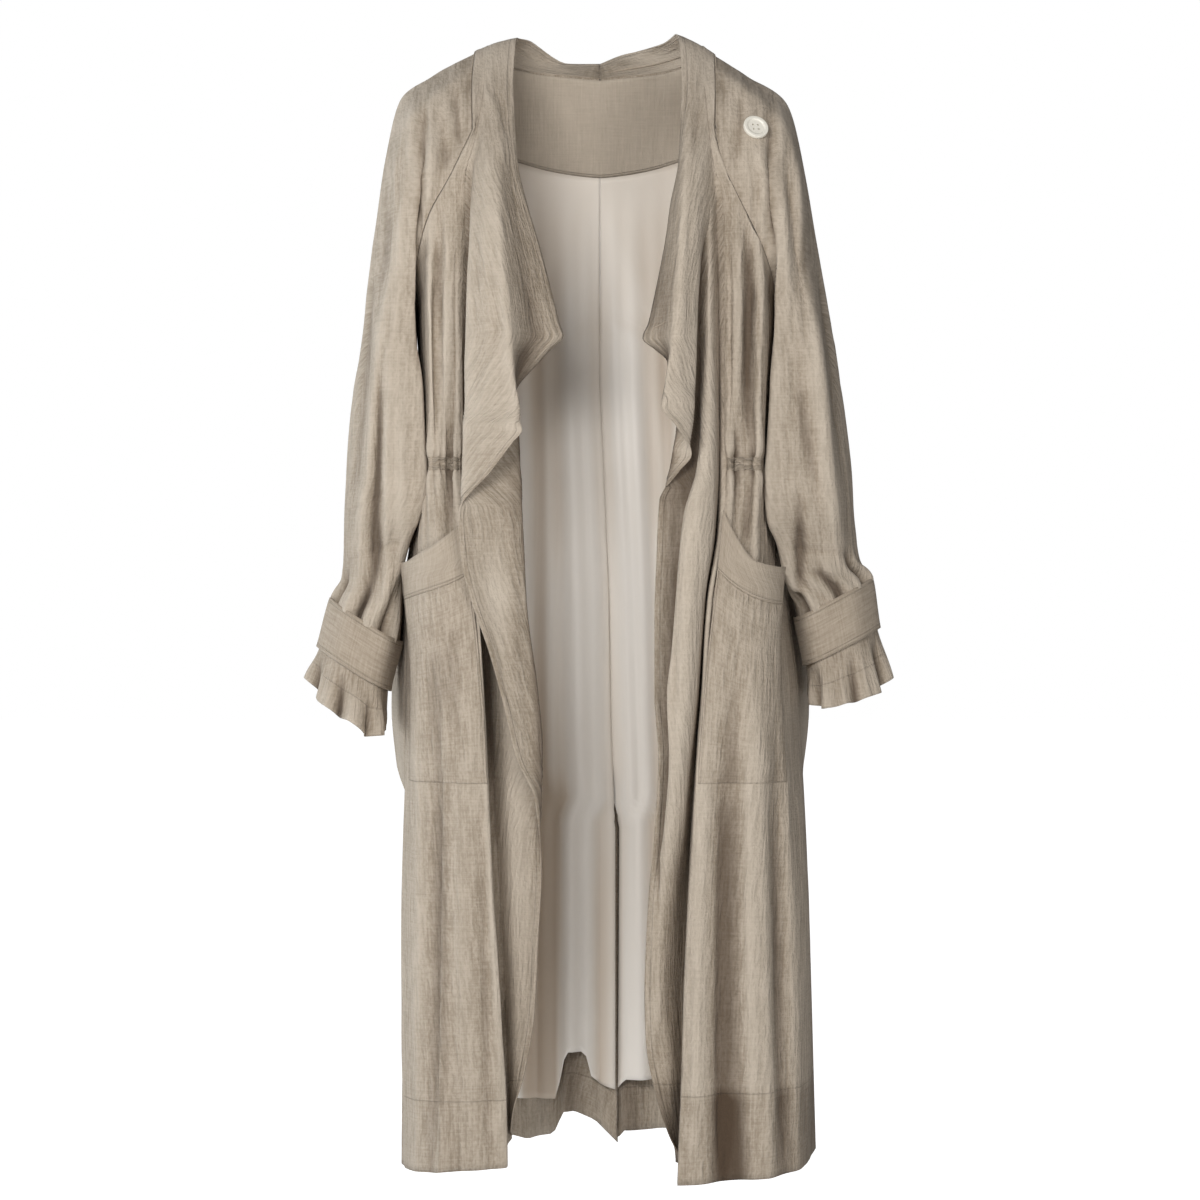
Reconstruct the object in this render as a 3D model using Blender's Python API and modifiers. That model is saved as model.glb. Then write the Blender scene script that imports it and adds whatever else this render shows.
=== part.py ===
"""Drawstring long coat: a raglan linen coat with draped fronts, hollow and hanging as worn.

Tables are in millimetres, objects in metres. +Z is up, the front faces -Y, and "right" and "left"
are the wearer's, so right is -X. The origin is midway between the shoulders, at their height.
"""

import math

import bmesh
import bpy
import numpy as np
from mathutils import Vector
from mathutils.bvhtree import BVHTree

# Driving dimensions in millimetres.
MM = 0.001
CLOTH = 1.5          # linen wall
LINING = 1.0         # satin wall
SEAM_GAP = 0.35      # each panel stops this far from its seam line
LAY_GAP = 0.45       # clear space under a piece that lies on a panel
FOLD_SOFTNESS = 5.0  # how far a fold is rounded along the cloth
SLEEVE_SOFTNESS = 9.0
COLLAR_SOFTNESS = 8.0
SOFT_REACH = 2.5     # rounding looks this many softnesses along the line
TURN_WEIGHT = 14.0   # extra points where the cloth turns, in mm for each radian
LINE_STEP = 1.5      # spacing of the points that a line is worked out with
WELD = 0.00005       # metres, closes a sleeve's underarm

HEM = -1115
ARMPIT = -250
NECK_FRONT = -64     # where the front raglan seam meets the neck seam
NECK_BACK = 26       # where the back raglan seam meets it
NECK_CENTRE = 12     # height of the neck seam at the centre back
VENT_TOP = -752
LINING_HEM = -1058
POCKET_BOTTOM = -725
POCKET_BAND = 47
WAIST = -403
CHANNEL_HEIGHT = 15
HEM_RISE_REACH = 260
VENT_STEP_REACH = 60
VENT_SLANT = 24      # height of the vent's slanted top
VENT_PART = 30       # the two panels part over this height above the vent
VENT_TURN_IN = 0.2   # slope of the lap that lies under, and of the one that lies over
VENT_TURN_OUT = 0.1
COLLAR_STAND = 6.0   # how far the collar's middle stands off the straight line across it
COLLAR_FLATTER = 0.6  # share of that stand lost at the centre back
COLLAR_LEAN = {"side": 0.5, "front": 0.9, "back": 0.6, "up": 0.8}
NECK_GAP = 0.8       # space between the collar's seam and the panels below it
UNDERARM_CLEAR = 3.0
LOWER_RAGLAN = 0.62  # share of the raglan seam that runs out from the body at the underarm
LOWER_RAGLAN_GAP = 2.1
LINING_HANG = 6.0    # space between the lining and the back
LINING_EASE = 0.25   # share of the lining's height over which it comes up to that space
STRAP_CLEAR = 2.2
FACING_TOP = 6       # the facing stops this far below the neck seam
BUTTON_WIDTH = 26.0
BUTTON_THICK = 4.0
BUTTON_DISH = 19.0
BUTTON_DISH_DEEP = 1.0
BUTTON_HOLE = 2.4
BUTTON_HOLE_OFF = 2.6
BUTTON_SEAT = 0.6
BUTTON_LOOK = 400    # the button's place on the cloth is looked for from this far in front
BUTTON_SIDES = 24
CUTTER_SIDES = 10

# Each fold runs up the cloth, and each of its rows is (height, across, depth).
# A fold takes part in a horizontal section only between its lowest and highest row.
FRONT_RIGHT = {
    "side": [(-1115, -206, 0), (-810, -203, 0), (-560, -201, 0), (-485, -198, 0), (-440, -187, 0),
             (-400, -180, 0), (-320, -186, 0), (-250, -190, 0), (-210, -188, -62), (-155, -174, -98),
             (-110, -150, -99), (-64, -129, -88)],
    "hip": [(-1115, -188, -88), (-560, -184, -83), (-485, -182, -80), (-400, -173, -72),
            (-320, -178, -72), (-250, -179, -60), (-226, -175, -72)],
    "outer_crest": [(-1115, -165, -118), (-810, -162, -116), (-541, -157, -113), (-470, -160, -105),
                    (-400, -157, -100), (-330, -160, -104), (-250, -163, -104), (-195, -168, -102)],
    "trough": [(-1115, -142, -110), (-541, -141, -112), (-470, -150, -96), (-400, -150, -91),
               (-330, -153, -94), (-250, -156, -94), (-160, -163, -98)],
    "inner_crest": [(-1115, -118, -122), (-810, -126, -122), (-541, -136, -120), (-470, -143, -107),
                    (-400, -143, -102), (-250, -146, -108), (-170, -147, -106), (-118, -143, -101)],
    "ridge": [(-1115, -92, -118), (-1043, -93, -119), (-958, -99, -120), (-810, -108, -121),
              (-641, -116, -122), (-541, -122, -120), (-470, -134, -98), (-400, -138, -97),
              (-250, -138, -101), (-160, -136, -100), (-110, -137, -99), (-64, -118, -97)],
    "gap": [(-1115, -96, -72), (-810, -112, -66), (-641, -120, -68), (-541, -126, -73),
            (-470, -137, -82), (-400, -140, -85), (-250, -137, -92), (-160, -134, -96)],
    "valley": [(-1115, -90, -60), (-958, -97, -56), (-810, -104, -55), (-641, -112, -58),
               (-541, -115, -63), (-470, -126, -73), (-400, -130, -79), (-250, -130, -90),
               (-100, -128, -96)],
    "inner_band": [(-1115, -88, -72), (-1043, -86, -78), (-810, -90, -80), (-641, -95, -86),
                   (-541, -99, -89), (-456, -106, -91), (-372, -109, -95), (-275, -114, -99),
                   (-200, -121, -101)],
    "roll": [(-810, -60, -94), (-742, -57, -98), (-690, -56, -100), (-641, -60, -102),
             (-541, -71, -106), (-456, -75, -108), (-372, -78, -110), (-300, -88, -112),
             (-230, -104, -110), (-200, -113, -107)],
    "lapel": [(-640, -80, -114), (-541, -98, -120), (-456, -108, -121), (-372, -109, -121),
              (-300, -115, -121), (-230, -123, -114), (-200, -125, -110)],
    "outer_fold": [(-456, -142, -130), (-411, -141, -132), (-372, -139, -134), (-330, -137, -134),
                   (-250, -135, -132), (-170, -132, -124), (-110, -128, -110), (-82, -127, -103)],
    "flank": [(-392, -113, -147), (-372, -112, -152), (-330, -114, -153), (-250, -116, -150),
              (-170, -116, -142), (-110, -113, -124), (-64, -112, -100)],
    "drape": [(-372, -77, -163), (-350, -78, -166), (-330, -82, -166), (-300, -87, -166),
              (-250, -92, -164), (-190, -98, -154), (-140, -101, -138), (-100, -101, -118),
              (-64, -99, -100)],
    "shade": [(-350, -84, -150), (-330, -87, -140), (-300, -81, -128), (-275, -69, -122),
              (-220, -76, -124), (-160, -84, -118), (-100, -92, -106)],
    "edge": [(-1115, -91, -82), (-1085, -88, -84), (-1043, -78, -88), (-960, -66, -92),
             (-890, -63, -93), (-810, -59, -94), (-742, -66, -106), (-700, -84, -116),
             (-641, -98, -122), (-590, -112, -127), (-541, -129, -129), (-500, -139, -130),
             (-456, -142, -130), (-411, -107, -150), (-385, -87, -160), (-372, -77, -163),
             (-350, -88, -141), (-330, -84, -123), (-300, -60, -109), (-275, -38, -104),
             (-238, -47, -103), (-188, -60, -101), (-137, -75, -99), (-100, -84, -95),
             (-64, -88, -88)],
}
FRONT_LEFT = {
    "side": [(-1115, 224, 0), (-810, 215, 0), (-641, 205, 0), (-560, 196, 0), (-485, 188, 0),
             (-440, 180, 0), (-400, 173, 0), (-320, 179, 0), (-250, 186, 0), (-203, 172, -80),
             (-157, 151, -100), (-127, 136, -101), (-97, 123, -97), (-64, 116, -86)],
    "hip": [(-1115, 202, -90), (-810, 194, -88), (-641, 184, -86), (-560, 177, -84),
            (-485, 167, -81), (-440, 163, -77), (-400, 165, -74), (-320, 170, -74),
            (-250, 172, -62), (-228, 168, -72)],
    "outer_crest": [(-1115, 170, -120), (-810, 165, -118), (-541, 156, -116), (-470, 155, -108),
                    (-400, 149, -104), (-330, 152, -107), (-250, 154, -108), (-215, 159, -104)],
    "trough": [(-1115, 140, -112), (-541, 138, -114), (-470, 144, -97), (-400, 142, -94),
               (-330, 145, -95), (-250, 146, -96), (-168, 149, -98)],
    "inner_crest": [(-1115, 108, -122), (-810, 116, -122), (-541, 126, -122), (-470, 133, -108),
                    (-400, 131, -104), (-330, 133, -107), (-250, 133, -107), (-137, 133, -102)],
    "ridge": [(-1115, 77, -118), (-1043, 80, -120), (-940, 84, -120), (-840, 90, -121),
              (-700, 99, -122), (-641, 103, -122), (-541, 109, -122), (-470, 121, -112),
              (-400, 124, -100), (-250, 125, -97), (-135, 124, -98), (-97, 113, -98), (-64, 107, -96)],
    "valley": [(-1115, 82, -66), (-940, 86, -62), (-770, 94, -60), (-641, 103, -62),
               (-541, 110, -64), (-470, 118, -70), (-400, 121, -78), (-330, 121, -80),
               (-250, 120, -84), (-170, 118, -90), (-110, 116, -94)],
    "fold_side": [(-1115, 76, -78), (-1043, 72, -88), (-940, 66, -96), (-840, 72, -104),
                  (-770, 82, -110), (-700, 88, -114), (-641, 95, -118), (-541, 103, -122),
                  (-470, 113, -122), (-400, 115, -117), (-330, 115, -113), (-250, 114, -111),
                  (-170, 113, -106), (-110, 112, -98)],
    "fold_crest": [(-940, 58, -104), (-840, 64, -113), (-770, 74, -120), (-700, 80, -126),
                   (-641, 82, -130), (-541, 90, -134), (-470, 100, -134), (-420, 106, -126),
                   (-330, 109, -119), (-250, 108, -116), (-170, 109, -109)],
    "fold_edge": [(-800, 57, -112), (-770, 62, -118), (-700, 66, -124), (-641, 65, -126),
                  (-590, 69, -128), (-541, 73, -130), (-456, 83, -130), (-410, 97, -120),
                  (-380, 101, -115), (-330, 103, -111), (-250, 103, -107), (-200, 105, -104)],
    "back_of_fold": [(-770, 68, -104), (-700, 76, -100), (-641, 80, -98), (-541, 86, -98),
                     (-456, 93, -98), (-400, 102, -98), (-330, 103, -97), (-250, 101, -98),
                     (-200, 102, -100)],
    "inner_band": [(-770, 64, -102), (-700, 68, -98), (-541, 72, -94), (-456, 77, -94),
                   (-395, 86, -97), (-300, 94, -101), (-220, 99, -104)],
    "roll": [(-440, 60, -94), (-420, 64, -104), (-395, 69, -110), (-348, 76, -114),
             (-300, 85, -114), (-250, 92, -113), (-210, 98, -110)],
    "outer_fold": [(-395, 92, -119), (-370, 94, -126), (-340, 96, -130), (-300, 97, -132),
                   (-250, 98, -131), (-170, 103, -122), (-110, 108, -108), (-82, 110, -101)],
    "flank": [(-372, 86, -137), (-340, 82, -146), (-300, 84, -148), (-240, 88, -147),
              (-160, 94, -134), (-100, 98, -114), (-64, 103, -98)],
    "drape": [(-348, 61, -152), (-330, 63, -154), (-302, 68, -154), (-277, 73, -153),
              (-240, 77, -151), (-190, 80, -146), (-140, 84, -134), (-100, 87, -118),
              (-64, 92, -99)],
    "shade": [(-330, 68, -141), (-302, 72, -130), (-277, 62, -126), (-220, 68, -124),
              (-150, 75, -116), (-100, 81, -106)],
    "edge": [(-1115, 84, -84), (-1090, 71, -88), (-1043, 56, -94), (-985, 46, -98),
             (-942, 45, -100), (-842, 49, -104), (-775, 55, -104), (-700, 59, -100),
             (-640, 55, -94), (-560, 55, -92), (-500, 57, -92), (-440, 60, -94),
             (-411, 80, -112), (-395, 92, -119), (-366, 75, -142), (-348, 61, -152),
             (-325, 65, -136), (-302, 68, -122), (-277, 44, -108), (-240, 54, -104),
             (-180, 66, -102), (-138, 72, -100), (-93, 81, -94), (-64, 82, -88)],
}
# The back from the side seam to the centre. Above the armpit the side is the back raglan seam.
BACK_SIDE_RIGHT = [(-250, -190, 0), (-205, -186, 58), (-140, -170, 88), (-60, -140, 80), (26, -112, 35)]
BACK_SIDE_LEFT = [(-250, 186, 0), (-205, 182, 58), (-140, 166, 88), (-60, 132, 80), (26, 104, 35)]
BACK = {
    "hip": [(-1115, 192, 84), (-770, 198, 80), (-715, 216, 76), (-650, 222, 74), (-595, 220, 72),
            (-540, 212, 72), (-490, 202, 70), (-440, 190, 69), (-400, 186, 68), (-320, 186, 70),
            (-250, 184, 60), (-226, 182, 64)],
    "outer_crest": [(-1115, 152, 124), (-810, 147, 113), (-400, 128, 90), (-250, 140, 100),
                    (-170, 146, 100)],
    "outer_trough": [(-1115, 112, 106), (-810, 110, 101), (-400, 98, 88), (-250, 106, 102),
                     (-60, 104, 94)],
    "inner_crest": [(-1115, 68, 134), (-810, 66, 122), (-400, 62, 99), (-250, 66, 109), (-60, 66, 97),
                    (26, 62, 60)],
    "inner_trough": [(-1115, 32, 118), (-810, 30, 113), (-400, 28, 96), (-250, 30, 106)],
    "centre": [(-1115, 0, 127), (-810, 0, 118), (-560, 0, 108), (-400, 0, 98), (-250, 0, 107),
               (-120, 0, 104), (-40, 0, 88), (26, 0, 66)],
}
# The neck seam and the collar's free edge: rows are (across, depth, height) from front to centre back.
NECK_SEAM_RIGHT = [(-129, -88, -64), (-131, -55, -12), (-128, -8, 29), (-121, 16, 29), (-112, 35, 26),
                   (-75, 57, 18), (0, 68, 12)]
NECK_SEAM_LEFT = [(116, -86, -64), (118, -54, -12), (118, -8, 26), (112, 16, 27), (104, 35, 26),
                  (70, 57, 18), (0, 68, 12)]
COLLAR_EDGE_RIGHT = [(-88, -88, -64), (-90, -58, -20), (-87, -10, 42), (-85, 18, 46), (-74, 44, 48),
                     (-34, 82, 30), (0, 90, 31)]
COLLAR_EDGE_LEFT = [(82, -88, -64), (85, -58, -20), (82, -10, 42), (78, 18, 50), (68, 44, 46),
                    (28, 85, 41), (0, 90, 31)]
SHOULDER_ROW = 4     # the neck seam's row where the back raglan seam starts

# Sleeve stations from the neck to the elbow. Columns: ridge, front, outer, back and inner back, each
# (across, depth, height); the row starts on the front raglan seam and ends on the back one.
SLEEVE_RIGHT = [
    {"seam": 0.72, "ridge": (-158, -90, -70), "front": (-166, -62, -22), "outer": (-169, -4, 7),
     "back": (-162, 48, -6), "inner_back": (-152, 72, -32)},
    {"seam": 0.48, "ridge": (-185, -103, -122), "front": (-202, -66, -62), "outer": (-206, 0, -16),
     "back": (-196, 55, -45), "inner_back": (-182, 82, -95)},
    {"seam": 0.24, "ridge": (-184, -104, -190), "front": (-214, -82, -130), "outer": (-223, 0, -78),
     "back": (-210, 72, -120), "inner_back": (-196, 84, -165)},
    {"seam": 0.0, "ridge": (-183, -98, -246), "front": (-215, -90, -205), "outer": (-238, 0, -172),
     "back": (-216, 80, -205), "inner_back": (-193, 66, -240)},
]
SLEEVE_LEFT = [
    {"seam": 0.72, "ridge": (146, -90, -70), "front": (150, -62, -20), "outer": (152, -4, 6),
     "back": (146, 48, -6), "inner_back": (140, 72, -32)},
    {"seam": 0.48, "ridge": (175, -103, -122), "front": (190, -66, -62), "outer": (194, 0, -22),
     "back": (184, 55, -48), "inner_back": (172, 82, -95)},
    {"seam": 0.24, "ridge": (176, -104, -190), "front": (204, -82, -130), "outer": (213, 0, -96),
     "back": (200, 72, -125), "inner_back": (188, 84, -165)},
    {"seam": 0.0, "ridge": (172, -98, -246), "front": (206, -90, -205), "outer": (228, 0, -176),
     "back": (206, 80, -205), "inner_back": (186, 66, -240)},
]
# Rings below the armpit. Ridge is the front fold's place across, front and back are the reach in depth,
# and tilt is how steeply the ring falls towards the body, in degrees.
RING_COLUMNS = ("height", "inner", "ridge", "outer", "front", "back", "tilt")
RINGS_RIGHT = [
    (-300, -195, -182, -252, -98, 76, 28), (-362, -195, -182, -261, -95, 68, 18),
    (-415, -194, -178, -265, -90, 60, 10), (-452, -207, -187, -267, -82, 54, 6),
    (-486, -210, -211, -268, -64, 50, 10), (-530, -206, -210, -270, -53, 47, 24),
    (-560, -210, -218, -277, -45, 42, 33), (-611, -222, -230, -291, -45, 42, 33),
    (-648, -224, -230, -304, -54, 47, 33),
]
RINGS_LEFT = [
    (-300, 184, 171, 246, -98, 76, 28), (-362, 183, 168, 257, -95, 68, 18),
    (-415, 187, 165, 264, -92, 60, 10), (-452, 193, 167, 266, -84, 54, 6),
    (-478, 198, 190, 269, -70, 51, 9), (-509, 201, 197, 273, -58, 48, 18),
    (-537, 206, 212, 281, -45, 42, 28), (-588, 216, 222, 289, -45, 42, 28),
    (-632, 219, 225, 304, -54, 47, 16),
]
RING_MIDDLE = 0.65     # share of a ring's width where its front and back are still full
RING_INNER_BACK = 0.05
RING_FULL = 0.94       # share of the reach in depth that is left there
STRAP_RINGS = (6, 7)  # the strap lies on the sleeve between these two rings
# Pocket mouths: heights at the outer and inner end, how far the curve sags, and how far it stands open.
# First is the face column that the pocket starts on.
POCKET_RIGHT = {"outer_top": -484, "inner_top": -450, "sag": 4, "gape": 17, "first": 2}
POCKET_LEFT = {"outer_top": -490, "inner_top": -446, "sag": 12, "gape": 17, "first": 3}
# How far the front's hem rises at its side seam, at its fold and at its free edge.
HEM_RISE_RIGHT = {"side": -10, "fold": 4, "edge": 34}
HEM_RISE_LEFT = {"side": 4, "fold": -14, "edge": 6}
FACING_DEPTH = {"side": -52, "centre": -80}
BUTTON_PLACE = (157, -63)

# Rows of the sections, closer together where the front edge turns over.
SKIRT_ROWS = (-1115, -1043, -958, -880, -810, -741, -700, -641, -590, -541, -500, -456)
DRAPE_ROWS = (-428, -411, -395, -372, -350, -330, -302, -275)
BACK_ROWS = (-1108, -960, -810, -776, -752, -722, -600, -485, -400, -320)
POCKET_ROWS = (-700, -641, -590)
# How far open a pocket stands on each of its rows, and its band on each of its own.
POCKET_STAND = (0, 0.1, 0.3, 0.5, 0.68, 0.82)
BAND_STAND = (0.82, 0.91, 1.0)
POCKET_INNER_GAPE = 0.25  # share of that stand at the pocket's inner side
RAGLAN_STEPS = 6
FACE_COLUMNS = 8      # from the side seam to the front ridge
DRAPE_COLUMNS = 12    # from the front ridge to the free edge
COLLAR_COLUMNS = 4
BACK_COLUMNS = 8
SLEEVE_COLUMNS = 12


def spline(at, values, x):
    """Smooth curve through the values that never overshoots them (monotone cubic)."""
    at, values = np.asarray(at, float), np.asarray(values, float)
    if values.ndim == 1:
        return spline(at, values[:, None], x)[0]
    step = np.diff(at)[:, None]
    slope = np.diff(values, axis=0) / step
    tangent = np.zeros_like(values)
    same_way = slope[:-1] * slope[1:] > 0
    total = np.where(same_way, slope[:-1] + slope[1:], 1.0)
    tangent[1:-1] = np.where(same_way, 2 * slope[:-1] * slope[1:] / total, 0.0)
    tangent[0], tangent[-1] = slope[0], slope[-1]
    i = int(np.clip(np.searchsorted(at, x) - 1, 0, len(step) - 1))
    h = step[i]
    t = np.clip((x - at[i]) / h, 0, 1)
    return ((1 + 2 * t) * (1 - t) ** 2 * values[i] + t * (1 - t) ** 2 * h * tangent[i]
            + t * t * (3 - 2 * t) * values[i + 1] + t * t * (t - 1) * h * tangent[i + 1])


def on_fold(rows, height):
    """(across, depth) of a fold at a height."""
    table = np.array(rows, float)
    return spline(table[:, 0], table[:, 1:], height)


def resampled(line, at, keep):
    return np.array([np.interp(keep, at, values) for values in line.T]).T


def run(line):
    """Length along a line at each of its points."""
    return np.concatenate([[0], np.cumsum(np.linalg.norm(np.diff(line, axis=0), axis=1))])


def rounded(corners, softness=FOLD_SOFTNESS):
    """A dense line through the corners, each rounded over the softness; the ends stay."""
    corners = np.asarray(corners, float)
    length = run(corners)[-1]
    count = max(int(length / LINE_STEP), 12)
    dense = resampled(corners, run(corners), np.linspace(0, length, count))
    reach = int(min(SOFT_REACH * softness * count / length, count - 1))
    kernel = np.exp(-0.5 * (np.arange(-reach, reach + 1) * length / count / softness) ** 2)
    before = 2 * dense[0] - dense[reach:0:-1]
    after = 2 * dense[-1] - dense[-2:-reach - 2:-1]
    padded = np.vstack([before, dense, after])
    return np.array([np.convolve(values, kernel / kernel.sum(), "valid") for values in padded.T]).T


def spaced(line, columns):
    """The line as this many equal columns, closer together where it turns."""
    step = np.diff(line, axis=0)
    length = np.linalg.norm(step, axis=1)
    way = step / np.maximum(length, 1e-9)[:, None]
    turn = np.arccos(np.clip((way[1:] * way[:-1]).sum(1), -1, 1))
    at = np.concatenate([[0], np.cumsum(length + TURN_WEIGHT * np.concatenate([[0], turn]))])
    return resampled(line, at, np.linspace(0, at[-1], columns + 1))


def shortened(line, start, end=0.0):
    """The line with these lengths taken off its two ends."""
    at = run(line)
    return resampled(line, at, np.linspace(start, at[-1] - end, len(line)))


def section(folds, height):
    """The cloth's line at a height, as points (across, depth), through the folds that reach there."""
    reaching = [rows for rows in folds.values() if rows[0][0] <= height <= rows[-1][0]]
    return rounded([on_fold(rows, height) for rows in reaching])


def at_height(line, height):
    return np.column_stack([line, np.full(len(line), float(height))])


def raglan(bottom, top):
    """Heights of a panel's rows along its raglan seam, from the armpit up."""
    return np.linspace(bottom, top, RAGLAN_STEPS + 1)


def front_row(folds, height, rise):
    """One row of a front: from its side or raglan seam to the ridge, then on to the free edge."""
    line = section(folds, height)
    ridge = int(np.argmin(np.linalg.norm(line - on_fold(folds["ridge"], height), axis=1)))
    fade = max(0.0, 1 - (height - HEM) / HEM_RISE_REACH) ** 2
    lift = np.interp(np.arange(len(line)), [0, ridge, len(line) - 1],
                     [rise["side"], rise["fold"], rise["edge"]])
    row = at_height(line, height)
    row[:, 2] += lift * fade
    face = spaced(shortened(row[:ridge + 1], SEAM_GAP), FACE_COLUMNS)
    return np.vstack([face, spaced(row[ridge:], DRAPE_COLUMNS)[1:]])


def neck_places():
    """Places along the neck seam, shared by the collar, the sleeve and the back so that they match."""
    over_shoulder = np.linspace(0, SHOULDER_ROW, SLEEVE_COLUMNS + 1)
    to_centre = np.linspace(SHOULDER_ROW, len(NECK_SEAM_RIGHT) - 1, BACK_COLUMNS + 1)
    return over_shoulder, to_centre


def along(rows, place):
    return spline(np.arange(len(rows)), np.array(rows, float), place)


def collar_rows(neck_seam, collar_edge, sign):
    """Rows across the grown-on collar from the neck seam to its edge, from the front to the back."""
    over_shoulder, to_centre = neck_places()
    rows = []
    for place in [*over_shoulder[1:], *to_centre[1:]]:
        start, end = along(neck_seam, place), along(collar_edge, place)
        stand = COLLAR_STAND * (1 - COLLAR_FLATTER * place / to_centre[-1])
        front = np.clip(1 - place / 2, 0, 1)
        back = np.clip((place - 3) / 2, 0, 1)
        side = 1 - front - back
        outward = np.array([sign * side * COLLAR_LEAN["side"],
                            back * COLLAR_LEAN["back"] - front * COLLAR_LEAN["front"], COLLAR_LEAN["up"]])
        middle = (start + end) / 2 + stand * outward
        line = shortened(rounded([start, middle, end], COLLAR_SOFTNESS), SEAM_GAP)
        rows.append(spaced(line, COLLAR_COLUMNS))
    rows[-1][:, 0] = sign * SEAM_GAP
    return rows


def back_folds(raglan_rows, front_folds, sign):
    """The back's folds on one half of the coat; below the armpit it shares the front's side seam."""
    shared = [row for row in front_folds["side"] if row[0] < ARMPIT]
    folds = {"side": shared + raglan_rows}
    for name, rows in BACK.items():
        folds[name] = [(height, sign * across, depth) for height, across, depth in rows]
    return folds


def back_line(folds, height, reach, step):
    """A back section from the side seam to the centre, or past it by the reach and stepped inwards."""
    line = section(folds, height)
    line[:, 1] -= step * np.clip(1 - np.abs(line[:, 0]) / VENT_STEP_REACH, 0, 1)
    if reach > 0:
        outside = -VENT_TURN_IN if step > 0 else VENT_TURN_OUT
        line = np.vstack([line, line[-1] + (-np.sign(line[0, 0]) * reach, outside * reach)])
    return shortened(line, SEAM_GAP, SEAM_GAP if reach == 0 else max(-reach, 0))


def vent_share(height):
    """How far down its top slant the vent is at a height, and how far the two panels have parted."""
    slant = np.clip((VENT_TOP - height) / VENT_SLANT, 0, 1)
    return slant, np.clip((VENT_TOP + VENT_PART - height) / VENT_PART, 0, 1)


def back_grid(folds, neck_seam, sign, reach, step):
    """Rows of a back panel from the hem to the neck, with (height) of each row."""
    grid, heights = [], []
    for height in BACK_ROWS:
        slant, parted = vent_share(height)
        line = back_line(folds, height, reach * slant, step * parted)
        grid.append(spaced(at_height(line, height), BACK_COLUMNS))
        heights.append(height)
    centre = raglan(ARMPIT, NECK_CENTRE)
    for k, height in enumerate(raglan(ARMPIT, NECK_BACK)[:-1]):
        row = at_height(back_line(folds, height, 0, 0), height)
        row[:, 2] += (centre[k] - height) * np.linspace(0, 1, len(row))
        grid.append(spaced(row, BACK_COLUMNS))
        heights.append(height)
    neck = np.array([along(neck_seam, place) for place in neck_places()[1]])
    neck = shortened(neck, SEAM_GAP, SEAM_GAP) - (0, 0, NECK_GAP)
    grid.append(neck)
    heights.append(NECK_BACK)
    return np.array(grid), np.array(heights, float)


def sleeve_rows(front_folds, back_raglan, neck_seam, stations, rings):
    """Rows of a raglan sleeve: the neck, along the two raglan seams to the armpit, then round the arm."""
    names = ("ridge", "front", "outer", "back", "inner_back")
    over_shoulder = neck_places()[0]
    neck = np.array([along(neck_seam, place) for place in over_shoulder])
    inside = [neck[np.round(np.linspace(0, len(neck) - 1, 7)[1:-1]).astype(int)]]
    inside += [np.array([station[name] for name in names], float) for station in stations]
    seams = [1.0] + [station["seam"] for station in stations]
    grid = [shortened(neck, SEAM_GAP, SEAM_GAP) + neck_pull(neck)]
    for share in np.linspace(1, 0, RAGLAN_STEPS + 1)[1:]:
        middle = spline(seams[::-1], np.array(inside[::-1]).reshape(len(seams), -1), share).reshape(-1, 3)
        start = seam_point(front_folds["side"], ARMPIT + share * (NECK_FRONT - ARMPIT), share)
        end = seam_point(back_raglan, ARMPIT + share * (NECK_BACK - ARMPIT), share)
        line = rounded([start, *middle, end], SLEEVE_SOFTNESS)
        gap = SEAM_GAP if share > 0 else 0.0
        front_gap = LOWER_RAGLAN_GAP if 0 < share < LOWER_RAGLAN else gap
        grid.append(spaced(shortened(line, front_gap, gap), SLEEVE_COLUMNS))
    for ring in rings:
        line = rounded(ring_points(dict(zip(RING_COLUMNS, ring))), SLEEVE_SOFTNESS)
        grid.append(spaced(line, SLEEVE_COLUMNS))
    return grid


def neck_pull(neck):
    """Moves the sleeve's neck row off the seam, outwards along the shoulder."""
    return np.array([np.sign(neck[0][0]) * NECK_GAP, 0, -0.4 * NECK_GAP])


def seam_point(rows, height, share):
    """A point of a raglan seam; the last stretch leaves the body at the underarm."""
    across, depth = on_fold(rows, height)
    clear = UNDERARM_CLEAR * max(0.0, 1 - share / LOWER_RAGLAN)
    return (across + math.copysign(clear, across), depth, height)


def ring_points(ring):
    """Corners of a ring round the arm, starting and ending at the underarm."""
    width = ring["outer"] - ring["inner"]
    middle = ring["inner"] + RING_MIDDLE * width
    inner_back = ring["inner"] + RING_INNER_BACK * width
    corners = [(ring["inner"], 0), (ring["ridge"], ring["front"]), (middle, RING_FULL * ring["front"]),
               (ring["outer"], 0), (middle, RING_FULL * ring["back"]), (inner_back, ring["back"]),
               (ring["inner"], 0)]
    fall = math.tan(math.radians(ring["tilt"]))
    centre = (ring["inner"] + ring["outer"]) / 2
    towards_body = math.copysign(1, ring["inner"] - ring["outer"])
    return [(x, y, ring["height"] - fall * (x - centre) * towards_body) for x, y in corners]


def outward(grid):
    """Unit normals of a grid of points, facing away from the coat's middle line."""
    across = np.gradient(grid, axis=1)
    up = np.gradient(grid, axis=0)
    normal = np.cross(across, up)
    normal /= np.maximum(np.linalg.norm(normal, axis=2), 1e-9)[:, :, None]
    middle = grid * np.array([1, 1, 0])
    return normal * np.sign((normal * middle).sum())


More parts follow.
